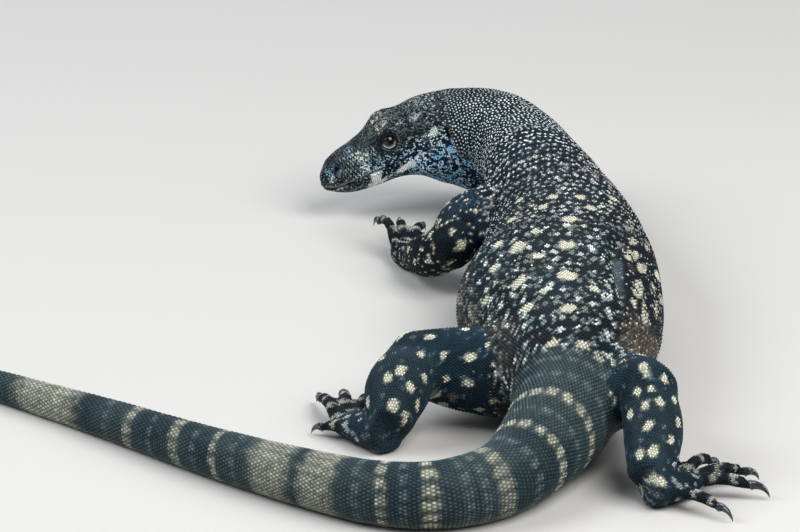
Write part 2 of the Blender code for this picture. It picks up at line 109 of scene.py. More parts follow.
# %% Helpers for materials
def new_material(name, **values):
    """A material and its Principled shader, with input values given by name, underscores for spaces."""
    material = bpy.data.materials.new(name)
    material.use_nodes = True
    shader = material.node_tree.nodes["Principled BSDF"]
    for key, value in values.items():
        shader.inputs[key.replace("_", " ")].default_value = value
    return material, shader


def new_node(material, kind, **values):
    """A new shader node of the material, with input values given by name, underscores for spaces."""
    node = material.node_tree.nodes.new("ShaderNode" + kind)
    for key, value in values.items():
        node.inputs[key.replace("_", " ")].default_value = value
    return node


def scaled(material, colour, factor):
    """A socket with a colour multiplied by a factor."""
    node = new_node(material, "VectorMath")
    node.operation = "SCALE"
    material.node_tree.links.new(colour, node.inputs[0])
    material.node_tree.links.new(factor, node.inputs["Scale"])
    return node.outputs["Vector"]


# %% A plain floor and soft lamps
FLOOR_SIZE = 6
builder = bmesh.new()
bmesh.ops.create_grid(builder, x_segments=1, y_segments=1, size=FLOOR_SIZE)
floor_mesh = bpy.data.meshes.new("floor")
builder.to_mesh(floor_mesh)
builder.free()
floor = bpy.data.objects.new("floor", floor_mesh)
floor_mesh.materials.append(new_material("floor", Base_Color=(0.5, 0.49, 0.47, 1), Roughness=0.8)[0])
bpy.context.scene.collection.objects.link(floor)


def soft_lamp(name, place, aim, size, watts, colour):
    """A square area lamp at place that shines at aim."""
    data = bpy.data.lights.new(name, "AREA")
    data.shape = "SQUARE"
    data.size = size
    data.energy = watts
    data.color = colour
    lamp = bpy.data.objects.new(name, data)
    lamp.location = Vector(place)
    lamp.rotation_euler = (Vector(aim) - Vector(place)).to_track_quat("-Z", "Y").to_euler()
    bpy.context.scene.collection.objects.link(lamp)


# Lamps: name, place and size in metres, watts, colour
LAMPS = (("key", (1.15, -0.75, 1.5), 1.5, 48, (1.0, 0.985, 0.96)),
         ("left", (-1.3, -0.3, 1.4), 1.2, 37, (0.93, 0.97, 1.0)),
         ("back", (0.2, 1.7, 1.5), 1.4, 13, (0.9, 0.95, 1.0)))
AIM = (0.0, 0.0, 0.04)
for name, place, size, watts, colour in LAMPS:
    soft_lamp(name, place, AIM, size, watts, colour)
world = bpy.data.worlds.new("studio")
world.use_nodes = True
sky = world.node_tree.nodes["Background"].inputs
sky["Color"].default_value = (0.8, 0.86, 0.95, 1)
sky["Strength"].default_value = 0.26
bpy.context.scene.world = world
bpy.context.scene.view_settings.view_transform = "Standard"
print("floor and", len(LAMPS), "lamps")

# %% [markdown]
# ## Lines through the body
# Scales on a lizard lie in rings across the body, tail and legs, so each length gets a middle line:
# points, the way it runs, and the way that counts as its top. The numbers are those of the solids.

# %% Middle lines of body, tail and limbs
HEAD_FORM = ((0.4, 3.4, 2.3, 3.6), (2, 6.2, 5.0, 6.6), (5.5, 9.0, 8.8, 8.7), (12, 11.2, 13.0, 11.7),
             (23, 13.2, 16.3, 13.9), (34, 16.0, 18.6, 13.6), (47, 19.3, 24.0, 12.6), (60, 22.0, 26.4, 16.5),
             (74, 23.6, 28.9, 29.0), (88, 24.2, 27.0, 39.0))
BODY_FORM = ((57, 99, 56, 25.5, 24, 36), (74, 72, 54, 27, 24, 35), (82, 36, 51.5, 31, 26.5, 36),
             (89, -4, 48, 37, 30, 44), (97.5, -53, 36, 46, 39, 38), (97.5, -98, 29, 54, 45, 31),
             (92, -152, 27, 60, 47, 29), (93, -201, 28, 55, 45, 30), (94.5, -248, 31, 44, 41, 33),
             (93, -285, 32, 34, 36, 33), (87, -318, 29, 28, 30, 30))
TAIL_ROUTE = ((75, -348), (52, -384), (18, -400), (-10, -395), (-45, -374), (-82, -346), (-115, -318),
              (-150, -286), (-188, -253), (-228, -220), (-285, -178), (-350, -138), (-420, -103),
              (-490, -66), (-555, -18), (-600, 35), (-628, 80))
TAIL_LENGTH = 930
TAIL_ROOT = 20.9
TAIL_TIP = 1.1
TAIL_TAPER = 1.55
TAIL_FLARE = 6
TAIL_FLARE_LENGTH = 50
TAIL_NARROWING = 0.28
TAIL_SINK = 0.6
ARM_LEFT = ((64, -16, 43, 19), (43, -27, 40, 17), (31, -54, 32, 14.5), (21, -44, 24, 14), (8, -14, 11.5, 8))
ARM_RIGHT = ((106, -15, 43, 17), (115, 9, 34, 14), (127, 30, 25, 12.5), (126, 52, 20, 12.5),
             (119, 84, 11.5, 8))
LEG_LEFT = ((84, -262, 33, 27), (44, -251, 30, 25), (8, -253, 35, 18), (-2, -279, 27, 18), (-6, -298, 15, 12))
LEG_RIGHT = ((98, -256, 33, 24), (119, -283, 33, 22), (133, -319, 44, 17.5), (135, -344, 32, 16.5),
             (133, -370, 15, 12))
PALM_LEFT = ((8, -13.6, 11.3, 8), (5, 6, 7.5, 10), (4.5, 13, 7, 7))
PALM_RIGHT = ((119, 84.4, 11.4, 8), (115, 105, 7.5, 10), (114, 112, 7, 7))
SOLE_LEFT = ((-6, -300, 13, 12), (-17, -285, 9.5, 11), (-26, -266, 7.5, 7))
SOLE_RIGHT = ((131, -373, 13, 12), (143, -364, 9.5, 11), (155, -353, 7.5, 7))
# Toes: root, heading from +Y to +X in degrees, length, radius, heights of knuckle and tip, claw length
FINGERS_LEFT = (((-2, 6, 8), -21, 33, 3.1, 22, 17, 14), ((2, 11, 8), -4, 33, 3.2, 17, 14, 14),
                ((7, 10, 8), 14, 30, 3.1, 16, 13, 13), ((11, 7, 8), 36, 25, 3.0, 14, 11, 12),
                ((13, 0, 8), 66, 18, 2.9, 12, 9, 10))
FINGERS_RIGHT = (((121, 104, 8), 22, 30, 3.1, 13, 8, 12), ((117, 109, 8), 2, 32, 3.2, 13, 8, 12),
                 ((112, 109, 8), -16, 29, 3.1, 13, 8, 12), ((108, 105, 8), -38, 25, 3.0, 12, 8, 11),
                 ((107, 98, 8), -68, 18, 2.9, 11, 7, 10))
TOES_LEFT = (((-34, -274, 7), -15, 44, 3.6, 12, 7, 13), ((-29, -269, 7), -4, 43, 3.7, 12, 7, 13),
             ((-23, -268, 7), 9, 35, 3.5, 12, 7, 12), ((-16, -272, 7), 27, 26, 3.3, 11, 7, 11),
             ((-24, -288, 7), -58, 25, 3.3, 9, 6, 11))
TOES_RIGHT = (((146, -372, 7), 130, 32, 3.4, 10, 7, 13), ((154, -358, 7), 99, 37, 3.7, 11, 8, 14),
              ((156, -352, 7), 72, 34, 3.6, 11, 7, 12), ((152, -346, 7), 42, 27, 3.4, 12, 7, 11),
              ((145, -347, 7), 12, 20, 3.2, 11, 7, 10))
# Limbs: name, node of the hand or foot, stations, stations of the palm or sole, toes
LIMBS = (("arm_left", "hand_left", ARM_LEFT, PALM_LEFT, FINGERS_LEFT),
         ("arm_right", "hand_right", ARM_RIGHT, PALM_RIGHT, FINGERS_RIGHT),
         ("leg_left", "foot_left", LEG_LEFT, SOLE_LEFT, TOES_LEFT),
         ("leg_right", "foot_right", LEG_RIGHT, SOLE_RIGHT, TOES_RIGHT))


def through(points, step):
    """Points about step apart on a smooth curve through the given rows, whose first three are a place."""
    rows = np.array(points, float)
    gaps = np.linalg.norm(np.diff(rows[:, :3], axis=0), axis=1)
    knots = np.concatenate(([0], np.cumsum(gaps)))
    slopes = np.gradient(rows, knots, axis=0)
    run = np.linspace(0, knots[-1], max(3, int(knots[-1] / step) + 1))
    span = np.clip(np.searchsorted(knots, run, side="right") - 1, 0, len(gaps) - 1)
    width = gaps[span][:, None]
    t = ((run - knots[span])[:, None]) / width
    start = rows[span] * (2 * t**3 - 3 * t**2 + 1) + slopes[span] * width * (t**3 - 2 * t**2 + t)
    return start + rows[span + 1] * (3 * t**2 - 2 * t**3) + slopes[span + 1] * width * (t**3 - t**2)


def make_line(name, points, step, level_top, begin=0.0):
    """A middle line with its ways. The columns after the place are half width, top and bottom reach."""
    rows = through(points, step)
    place = rows[:, :3]
    way = np.gradient(place, axis=0)
    way = way / np.linalg.norm(way, axis=1)[:, None]
    run = begin + np.concatenate(([0], np.cumsum(np.linalg.norm(np.diff(place, axis=0), axis=1))))
    top = np.zeros_like(way)
    last = np.array((0.0, 0.0, 1.0))
    for k, along in enumerate(way):
        wish = np.array((0.0, 0.0, 1.0)) if level_top else last
        last = wish - along * (wish @ along)
        last = last / np.linalg.norm(last)
        top[k] = last
    side = np.cross(top, way)
    return {"name": name, "place": place + SHIFT, "way": way, "top": top, "side": -side, "run": run,
            "reach": rows[:, 3:]}


def tail_stations():
    """The tail's stations: place, half width, top and bottom reach."""
    flat = np.array(TAIL_ROUTE, float)
    run = np.concatenate(([0], np.cumsum(np.linalg.norm(np.diff(flat, axis=0), axis=1))))
    left = np.clip(1 - run / TAIL_LENGTH, 0.0, 1)
    tall = TAIL_ROOT * left**TAIL_TAPER + TAIL_TIP + TAIL_FLARE * np.exp(-((run / TAIL_FLARE_LENGTH) ** 2))
    wide = tall * (1 - TAIL_NARROWING * np.minimum(2 * run / TAIL_LENGTH, 1))
    return [(x, y, high - TAIL_SINK, across, high, high)
            for (x, y), high, across in zip(flat, tall, wide)]


STEP = 0.25
head_stations = [(*on_head(a, 0, 0), half, top, low) for a, half, top, low in HEAD_FORM]
spine_line = make_line("spine", head_stations + list(BODY_FORM) + tail_stations(), STEP, True)
limb_lines = [make_line(name, [(x, y, z, r, r, r) for x, y, z, r in rows[:-1] + palm], STEP, False)
              for name, _, rows, palm, _ in LIMBS]


def toe_way(heading):
    """The level way a toe points, from its heading in degrees."""
    return np.array((math.sin(math.radians(heading)), math.cos(math.radians(heading)), 0.0))


def toe_stations(root, heading, length, radius, knuckle, tip):
    """The four places along a toe and the radius at each."""
    start = np.array(root, float)
    way = toe_way(heading)
    shares = ((0, root[2], 1.1), (0.45, knuckle, 1.0), (0.78, (knuckle + tip) / 2, 0.92), (1, tip, 0.7))
    rows = []
    for share, high, width in shares:
        place = start + way * length * share
        rows.append((place[0], place[1], high, radius * width, radius * width, radius * width))
    return rows


toe_lines = [make_line(name + "_toe", toe_stations(*toe[:6]), STEP, True)
             for name, _, _, _, toes in LIMBS for toe in toes]
lines = [spine_line, *limb_lines, *toe_lines]
print(len(lines), "middle lines; the spine is", round(spine_line["run"][-1]), "mm long")

# %% Noise, easing and measures along a line
def scatter(i, j, seed):
    """A repeatable number from 0 to 1 for each pair of whole numbers."""
    mixed = (np.asarray(i).astype(np.int64) * 73856093) ^ (np.asarray(j).astype(np.int64) * 19349663)
    mixed = (mixed ^ (seed * 83492791)) & 0xFFFFFFFF
    mixed = ((mixed ^ (mixed >> 13)) * 1274126177) & 0xFFFFFFFF
    return ((mixed ^ (mixed >> 16)) & 0xFFFFFF) / 0xFFFFFF


def cloud(places, size, seed):
    """Smooth noise from 0 to 1 with cells of the given size."""
    cells = places / size
    base = np.floor(cells).astype(np.int64)
    part = cells - base
    part = part * part * (3 - 2 * part)
    total = np.zeros(len(places))
    for a in (0, 1):
        for b in (0, 1):
            for c in (0, 1):
                weight = np.where(a, part[:, 0], 1 - part[:, 0]) * np.where(b, part[:, 1], 1 - part[:, 1])
                weight = weight * np.where(c, part[:, 2], 1 - part[:, 2])
                total += weight * scatter(base[:, 0] + a, base[:, 1] + b + 7919 * (base[:, 2] + c), seed)
    return total


def ease(low, high, value):
    """Goes smoothly from 0 at low to 1 at high."""
    t = np.clip((value - low) / (high - low), 0, 1)
    return t * t * (3 - 2 * t)


def between(value, low, full, last, top):
    """Rises from 0 at low to 1 at full, and falls again from 1 at last to 0 at top."""
    return ease(low, full, value) * ease(top, last, value)


def bump(distance, width):
    """A round hill of height 1 and the given half width."""
    return np.exp(-((distance / width) ** 2))


def tree_of(places):
    """A search tree over places."""
    tree = KDTree(len(places))
    for k, place in enumerate(places):
        tree.insert(place, k)
    tree.balance()
    return tree


def nearest_on_line(line, places):
    """The number of the middle line's nearest point to each place, and how far it is."""
    tree = tree_of(line["place"] - SHIFT)
    found = [tree.find(place) for place in places]
    return np.array([k for _, k, _ in found]), np.array([gap for _, _, gap in found])


def turns_of(line, places):
    """The distance along a middle line, the angle round it and the way round to each place."""
    at, _ = nearest_on_line(line, places)
    away = places - (line["place"][at] - SHIFT)
    turn = np.arctan2(np.sum(away * line["side"][at], axis=1), np.sum(away * line["top"][at], axis=1))
    return line["run"][at], turn, turn * np.linalg.norm(away, axis=1)


def grain_of(places, seed):
    """A random number from 0 to 1 for each place, different from one scale to the next."""
    return scatter(np.round(places[:, 0] * 9), np.round(places[:, 1] * 9 + places[:, 2] * 31), seed)


# %% [markdown]
# ## Flesh without claws
# The skin covers everything but the eyes and the claws. A copy of each solid is merged, grown by the
# small gap that keeps the solids apart, and joined with the rest. On hands and feet a plane trims each
# claw off where it leaves its toe, and the small hole is filled, because the claws are made again later.

# %% Join copies of the solids
GROW = 0.3
CLAW_ROOM = 2.7


def trim_claw(builder, root, heading, length, radius, knuckle, tip, claw):
    """Cuts the claw off one toe of a copied hand or foot."""
    way = toe_way(heading)
    across = np.cross((0, 0, 1), way)
    end = np.array(root, float) + way * length
    end[2] = tip
    end = (end + SHIFT) * MM

    def on_claw(vert):
        """Whether a vertex lies in the claw's narrow upright strip."""
        away = np.array(vert.co) - end
        return abs(away @ across) < CLAW_ROOM * MM and -0.5 * radius * MM < away @ way < (claw + 3) * MM

    faces = [face for face in builder.faces if all(on_claw(vert) for vert in face.verts)]
    edges = list(dict.fromkeys(edge for face in faces for edge in face.edges))
    verts = list(dict.fromkeys(vert for face in faces for vert in face.verts))
    bmesh.ops.bisect_plane(builder, geom=verts + edges + faces, plane_co=Vector(end + way * GROW * MM),
                           plane_no=Vector(way), clear_outer=True)
    rims = [edge for edge in builder.edges if edge.is_boundary]
    bmesh.ops.holes_fill(builder, edges=rims, sides=0)


toes_of = {node: toes for _, node, _, _, toes in LIMBS}
flesh_nodes = sorted(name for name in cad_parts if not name.startswith("eye"))
flesh = bmesh.new()
for name in sorted(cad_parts):
    copy = bmesh.new()
    copy.from_mesh(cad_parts[name].data)
    bmesh.ops.remove_doubles(copy, verts=copy.verts, dist=0.001 * MM)
    for toe in toes_of.get(name, ()):
        trim_claw(copy, *toe)
    open_edges = sum(edge.is_boundary for edge in copy.edges)
    if open_edges:
        print(name, "has", open_edges, "open edges")
    copy.normal_update()
    for vert in copy.verts:
        vert.co += vert.normal * GROW * MM
    grown = bpy.data.meshes.new("grown")
    copy.to_mesh(grown)
    copy.free()
    flesh.from_mesh(grown)
    bpy.data.meshes.remove(grown)
solid_tree = BVHTree.FromBMesh(flesh)
flesh_mesh = bpy.data.meshes.new("flesh")
flesh.to_mesh(flesh_mesh)
flesh.free()
print(len(flesh_mesh.polygons), "faces of flesh")

# %% [markdown]
# ## One closed skin
# A voxel remesh turns the overlapping copies into one closed surface of even squares, the way clay
# is pressed over an armature. The squares are then relaxed and brought back to the solids' surface,
# more where a limb leaves the trunk, so that the joins become soft folds of skin.

# %% Remesh and relax
VOXEL = 2.25


def mesh_points(mesh):
    """The mesh's points in the layout's millimetres."""
    flat = np.empty(len(mesh.vertices) * 3, np.float32)
    mesh.vertices.foreach_get("co", flat)
    return flat.reshape(-1, 3).astype(float) / MM - SHIFT


def mesh_edges(mesh):
    """The mesh's edges as pairs of point numbers."""
    flat = np.empty(len(mesh.edges) * 2, np.int32)
    mesh.edges.foreach_get("vertices", flat)
    return flat.reshape(-1, 2)


def average(values, edges):
    """Each point's mean of its neighbours' values."""
    count = np.bincount(edges.ravel(), minlength=len(values))
    total = np.empty_like(values)
    for axis in range(values.shape[1]):
        total[:, axis] = np.bincount(edges[:, 0], values[edges[:, 1], axis], len(values))
        total[:, axis] += np.bincount(edges[:, 1], values[edges[:, 0], axis], len(values))
    return total / np.maximum(count, 1)[:, None]


def relax(values, edges, rounds, weight):
    """Moves each value towards its neighbours' mean, weight at a time."""
    for _ in range(rounds):
        values = values + (average(values, edges) - values) * weight
    return values


def nearest_on(tree, points):
    """The nearest place of the tree's surface to each point, its normal and how far it is, in millimetres."""
    places = np.empty_like(points)
    normals = np.empty_like(points)
    gaps = np.empty(len(points))
    for k, point in enumerate(points):
        place, normal, _, gap = tree.find_nearest((point + SHIFT) * MM)
        places[k] = np.array(place) / MM - SHIFT
        normals[k] = normal
        gaps[k] = gap / MM
    return places, normals, gaps


flesh_object = bpy.data.objects.new("flesh", flesh_mesh)
bpy.context.scene.collection.objects.link(flesh_object)
remesh = flesh_object.modifiers.new("remesh", "REMESH")
remesh.mode = "VOXEL"
remesh.voxel_size = VOXEL * MM
skin_mesh = bpy.data.meshes.new_from_object(
    flesh_object.evaluated_get(bpy.context.evaluated_depsgraph_get()))
bpy.data.objects.remove(flesh_object)
bpy.data.meshes.remove(flesh_mesh)
skin_points = mesh_points(skin_mesh)
skin_edges = mesh_edges(skin_mesh)
print(len(skin_mesh.polygons), "squares of skin")


def nearest_parts(points):
    """Each point's distance from the spine and the nearest limb or toe, as shares of their reach."""
    at, gap = nearest_on_line(spine_line, points)
    spine_share = gap / np.mean(spine_line["reach"][at], axis=1)
    limb_share = np.full(len(points), 9.0)
    girth = np.min(spine_line["reach"][at], axis=1)
    for line in limb_lines + toe_lines:
        at, gap = nearest_on_line(line, points)
        share = gap / line["reach"][at, 0]
        closer = share < limb_share
        limb_share[closer] = share[closer]
        girth = np.where(closer & (share < spine_share), line["reach"][at, 0], girth)
    return spine_share, limb_share, girth


skin_points, _, _ = nearest_on(solid_tree, skin_points)
spine_share, limb_share, girth = nearest_parts(skin_points)
joins = np.clip(1 - np.abs(spine_share - 1.1) / 0.45, 0, 1)
joins = joins * np.clip(1 - np.abs(limb_share - 1.15) / 0.6, 0, 1)
joins = relax(joins[:, None], skin_edges, 6, 0.5)
firmness = np.clip((girth - 2.5) / 14, 0.05, 0.5)[:, None]
relaxed = relax(skin_points, skin_edges, 12, firmness)
lost = relax(skin_points - relaxed, skin_edges, 12, 0.5)
skin_points = relaxed + lost * (1 - 0.8 * np.clip(joins * 3, 0, 1))
skin_points = relax(skin_points, skin_edges, 16, np.clip(joins * 3, 0, 1) * 0.5)


FLANK_FOLD = ((335, 0.0), (375, 1.0), (455, 1.1), (500, 0.4), (515, 0.0))
NECK_FOLDS = ((96, 1.3, 2.4), (110, 1.0, 2.2), (126, 0.8, 2.2), (143, 0.6, 2.4), (160, 0.4, 2.4))


def skin_folds(points):
    """How far folds and wrinkles raise the trunk's skin at each point, in millimetres."""
    run, turn, across = turns_of(spine_line, points)
    side = np.abs(turn)
    stations, depths = np.array(FLANK_FOLD).T
    wave = 0.64 + 0.05 * np.sin(run / 17)
    fold = np.where(turn < 0, 1.0, 0.4) * np.interp(run, stations, depths)
    lift = fold * (1.5 * bump(side - wave + 0.13, 0.1) - 2.3 * bump(side - wave, 0.065))
    for place, depth, width in NECK_FOLDS:
        bent = place + 7 * np.sin(turn * 1.3)
        lift += depth * (0.5 * bump(run - bent - width * 1.5, width) - bump(run - bent, width * 0.8)) \
            * ease(1.0, 1.9, turn)
    groin = between(run, 446, 462, 498, 512) * between(side, 0.9, 1.1, 1.7, 2.0)
    lift += 0.55 * np.sin(across / 1.5 + 1.5 * np.sin(run / 7)) * groin
    armpit = between(run, 225, 240, 280, 300) * between(side, 1.0, 1.3, 2.0, 2.3)
    lift += 0.45 * np.sin(run / 1.7 + 1.5 * np.sin(across / 8)) * armpit
    lift += 0.9 * (cloud(points, 22, 71) - 0.5) * between(run, 200, 260, 490, 520)
    return lift


def place_points(mesh, points):
    """Puts the mesh's points at the layout's millimetres."""
    mesh.vertices.foreach_set("co", ((points + SHIFT) * MM).astype(np.float32).ravel())
    mesh.update()


place_points(skin_mesh, skin_points)
body_skin = (spine_share < limb_share) & (joins[:, 0] < 0.3)
ways_out = np.empty(len(skin_points) * 3, np.float32)
skin_mesh.vertex_normals.foreach_get("vector", ways_out)
lift = np.where(body_skin, skin_folds(skin_points), 0)
skin_points = skin_points + ways_out.reshape(-1, 3) * lift[:, None]
place_points(skin_mesh, skin_points)
print("joins", int((joins > 0.1).sum()), "points, folds up to", round(float(np.abs(lift).max()), 2), "mm")

# %% [markdown]
# ## Finer squares on the head
# Lips, lids and nostrils are far smaller than the skin's squares, so the head's edges are divided once
# all over, and twice more along the mouth and round the eyes, nostrils and ears.

# %% Divide the head's edges
MOUTH = ((0.9, -4.4), (6, -4.7), (12, -4.2), (20, -3.2), (32, -1.0), (46, 1.2), (58, 3.0))
MOUTH_END = 58
GAZE_LIFT = math.radians(12)
NOSTRIL = (10.6, 7.0)  # back from the snout and up, in millimetres
NOSTRIL_SIZE = (1.9, 1.45)
NOSTRIL_OUT = 4  # a nostril lies further out than this
EAR = (83.8, 8.5)
EAR_SIZE = (2.5, 4.9)
EAR_OUT = 12
NOT_NEAR = 9  # stands for far away, in half sizes
HEAD_LENGTH = 99
HEAD_SPAN = (34, -48, 36)  # how far the head reaches out, down and up


def head_places(points):
    """The head's own measures of each point: back from the snout, out to the left, and up."""
    away = points - SNOUT
    return -away @ FORWARD, away @ LEFT, away @ UP


def mouth_height(along):
    """How high the mouth line runs at each distance back from the snout."""
    stations, heights = np.array(MOUTH, float).T
    return np.interp(along, stations, heights)


def eye_measures(points):
    """Each point's place round the nearer eye: along, across and out of the eye, in millimetres."""
    along, out, high = head_places(points)
    x = along - EYE_PLACE[0]
    outward = np.abs(out) - EYE_PLACE[1]
    upward = high - EYE_PLACE[2]
    y = upward * math.cos(GAZE_LIFT) - outward * math.sin(GAZE_LIFT)
    z = outward * math.cos(GAZE_LIFT) + upward * math.sin(GAZE_LIFT)
    return x, y, z


def oval(along, high, centre, size):
    """How many half sizes each point lies from an oval's centre."""
    return np.hypot((along - centre[0]) / size[0], (high - centre[1]) / size[1])


def nostril_rings(along, out, high, size=NOSTRIL_SIZE):
    """How many half sizes each point lies from the nearer nostril."""
    return np.where(np.abs(out) > NOSTRIL_OUT, oval(along, high, NOSTRIL, size), NOT_NEAR)


def ear_rings(along, out, high, size=EAR_SIZE):
    """How many half sizes each point lies from the nearer ear."""
    return np.where(np.abs(out) > EAR_OUT, oval(along, high, EAR, size), NOT_NEAR)


def on_head_part(points):
    """Which points belong to the head."""
    along, out, high = head_places(points)
    reach, low, top = HEAD_SPAN
    return (along < HEAD_LENGTH) & (np.abs(out) < reach) & (high > low) & (high < top)


def near_features(points, room):
    """Which points lie within room of the mouth line, an eye, a nostril or an ear."""
    along, out, high = head_places(points)
    x, y, z = eye_measures(points)
    eye = (np.hypot(x, y) < 4.5 + room * 1.3) & (z > -3)
    mouth = (np.abs(high - mouth_height(along)) < room) & (along < MOUTH_END + room)
    nostril = nostril_rings(along, out, high, (2.5 + room * 0.7, 2.5 + room * 0.7)) < 1
    ear = ear_rings(along, out, high, (2.5 + room, 5 + room)) < 1
    return on_head_part(points) & (eye | mouth | nostril | ear)


def divide(mesh, chosen):
    """Divides the edges whose two ends are both chosen."""
    builder = bmesh.new()
    builder.from_mesh(mesh)
    builder.verts.ensure_lookup_table()
    edges = [edge for edge in builder.edges if chosen[edge.verts[0].index] and chosen[edge.verts[1].index]]
    bmesh.ops.subdivide_edges(builder, edges=edges, cuts=1, use_grid_fill=True)
    bmesh.ops.triangulate(builder, faces=[face for face in builder.faces if len(face.verts) > 4])
    builder.to_mesh(mesh)
    builder.free()


divide(skin_mesh, on_head_part(skin_points))
points = mesh_points(skin_mesh)
head_edges = mesh_edges(skin_mesh)
softness = np.where(near_features(points, 4.0), 0.5, 0.2) * on_head_part(points)
smoothed = relax(points, head_edges, 9, softness[:, None])
lost = relax(points - smoothed, head_edges, 9, 0.5)
place_points(skin_mesh, smoothed + lost * 0.8)
divide(skin_mesh, near_features(mesh_points(skin_mesh), 3.4))
divide(skin_mesh, near_features(mesh_points(skin_mesh), 1.7))
triangles = sum(len(face.vertices) - 2 for face in skin_mesh.polygons)
print("skin of", triangles, "triangles")

# %% [markdown]
# ## Lips, lids, nostrils and ears
# Each feature is a gentle push or pull of the skin's points. The eyelids are a ball a little larger than
# the eye, with an opening that dips behind the eyeball, and low folds run round them. The mouth is a thin
# groove between two soft lips, and the nostrils and ears are pits with a raised rim.

# %% Shape the face
SCALE_DEPTH = 0.42  # how deep the skin lies under the scales' backs
FACE_DEPTH = 0.28
SKIN_FLOOR = 0.25  # the lowest height of the skin
LID = 0.75
OPENING = (3.75, 2.9)  # half width and half height of the eye's opening
# Folds round the eye: distance from its middle, half width, height
LID_FOLDS = ((4.5, 0.45, 0.3), (5.3, 0.35, -0.3), (6.1, 0.4, 0.28), (6.9, 0.35, -0.22),
             (7.7, 0.45, 0.18), (8.6, 0.45, -0.12))


def normals_of(mesh):
    """The mesh's point normals."""
    flat = np.empty(len(mesh.vertices) * 3, np.float32)
    mesh.vertex_normals.foreach_get("vector", flat)
    return flat.reshape(-1, 3).astype(float)


points = mesh_points(skin_mesh)
normals = normals_of(skin_mesh)
along, out, high = head_places(points)
head = on_head_part(points)
x, y, z = eye_measures(points)
ring = np.hypot(x, y)
opening = np.hypot(x / OPENING[0], y / OPENING[1])
near_eye = head & (ring < 10.5) & (z > -1)
lid_radius = EYE_RADIUS + LID
lid = np.sqrt(np.maximum(lid_radius**2 - ring**2, 0))
folds = sum(height * bump(ring - radius, width) for radius, width, height in LID_FOLDS)
cover = np.maximum(z, lid) * ease(6.4, 5.2, ring) + z * (1 - ease(6.4, 5.2, ring)) + folds
cup = np.sqrt(np.maximum((EYE_RADIUS - 0.7) ** 2 - ring**2, 0))
socket = ease(1.06, 0.97, opening)
wanted = cover * (1 - socket) + cup * socket
GAZE = LEFT * math.cos(GAZE_LIFT) + UP * math.sin(GAZE_LIFT)
gaze = np.where(out[:, None] > 0, GAZE, GAZE - 2 * LEFT * math.cos(GAZE_LIFT))
points = points + gaze * (np.where(near_eye, wanted - z, 0))[:, None]

gap = high - mouth_height(along)
closed = ease(MOUTH_END + 2, MOUTH_END - 6, along)
push = (0.5 * bump(np.abs(gap) - 1.5, 0.8) - 1.0 * bump(gap, 0.42)) * closed
nostril = nostril_rings(along, out, high)
push += 0.4 * bump(nostril - 1.35, 0.3) - 1.9 * ease(1.05, 0.6, nostril)
ear = ear_rings(along, out, high)
push += 0.5 * bump(ear - 1.3, 0.3) - 1.7 * ease(1.05, 0.5, ear)
points = points + normals * np.where(head, push, 0)[:, None]
depth = np.where(head, FACE_DEPTH, SCALE_DEPTH)
points = points - normals * depth[:, None]
points[:, 2] = np.maximum(points[:, 2], SKIN_FLOOR)
place_points(skin_mesh, points)
skin_mesh.shade_smooth()
skin_object = bpy.data.objects.new("skin", skin_mesh)
bpy.context.scene.collection.objects.link(skin_object)
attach(skin_object, "root")
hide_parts(*flesh_nodes)
skin_tree = BVHTree.FromPolygons([Vector(p) for p in (points + SHIFT) * MM],
                                 [tuple(face.vertices) for face in skin_mesh.polygons])
print("skin shaped")

# %% [markdown]
# ## Where each scale grows
# A monitor's scales stand in even rings round its body, each row shifted by half a scale. Rays from the
# middle lines find the skin round each ring, and scales are set out from the back's middle by their
# width, so the rows run on without a break. Places where two parts meet are filled in at random.

# %% Set out the scales in rings
RAYS = 72
RAY_REACH = 0.09  # metres
RING_PITCH = 0.9  # the distance between rings, as a share of a scale's width
ROOM = 0.62  # the least distance between scales, as a share of a scale's width
LIP_BAND = 0.55
HEAD_LINE = 0  # the number of the middle line that runs through the head


# How wide scales are: the distance along a middle line, and the width there
SPINE_SCALES = ((0, 0.9), (12, 1.0), (50, 1.08), (92, 1.2), (112, 1.35), (160, 1.5), (210, 1.75), (260, 2.0),
                (500, 2.1), (640, 2.15), (900, 2.2), (1300, 1.8), (1430, 1.2))
LIMB_SCALES = ((0, 2.0), (40, 1.9), (130, 1.5), (170, 1.35))
TOE_SCALES = ((0, 1.35), (40, 1.15))


def scale_size(name, run):
    """The distance between neighbouring scales, in millimetres."""
    if name == "spine":
        sizes = SPINE_SCALES
    else:
        sizes = TOE_SCALES if name.endswith("toe") else LIMB_SCALES
    stations, widths = np.array(sizes).T
    return np.interp(run, stations, widths)


def around(line, k, angles):
    """Where the skin is round a middle line at place k, with how far it is out, in millimetres."""
    centre = line["place"][k]
    out = np.zeros(len(angles))
    for n, angle in enumerate(angles):
        way = line["top"][k] * math.cos(angle) + line["side"][k] * math.sin(angle)
        hit, _, _, gap = skin_tree.ray_cast(Vector(centre * MM), Vector(way), RAY_REACH)
        out[n] = gap / MM if hit is not None else 0
    return out


def expected_reach(line, k, angles):
    """How far the solid's section reaches at each angle."""
    half, top, low = line["reach"][k]
    high = np.where(np.cos(angles) > 0, top, low)
    return 1 / np.sqrt((np.sin(angles) / half) ** 2 + (np.cos(angles) / high) ** 2)


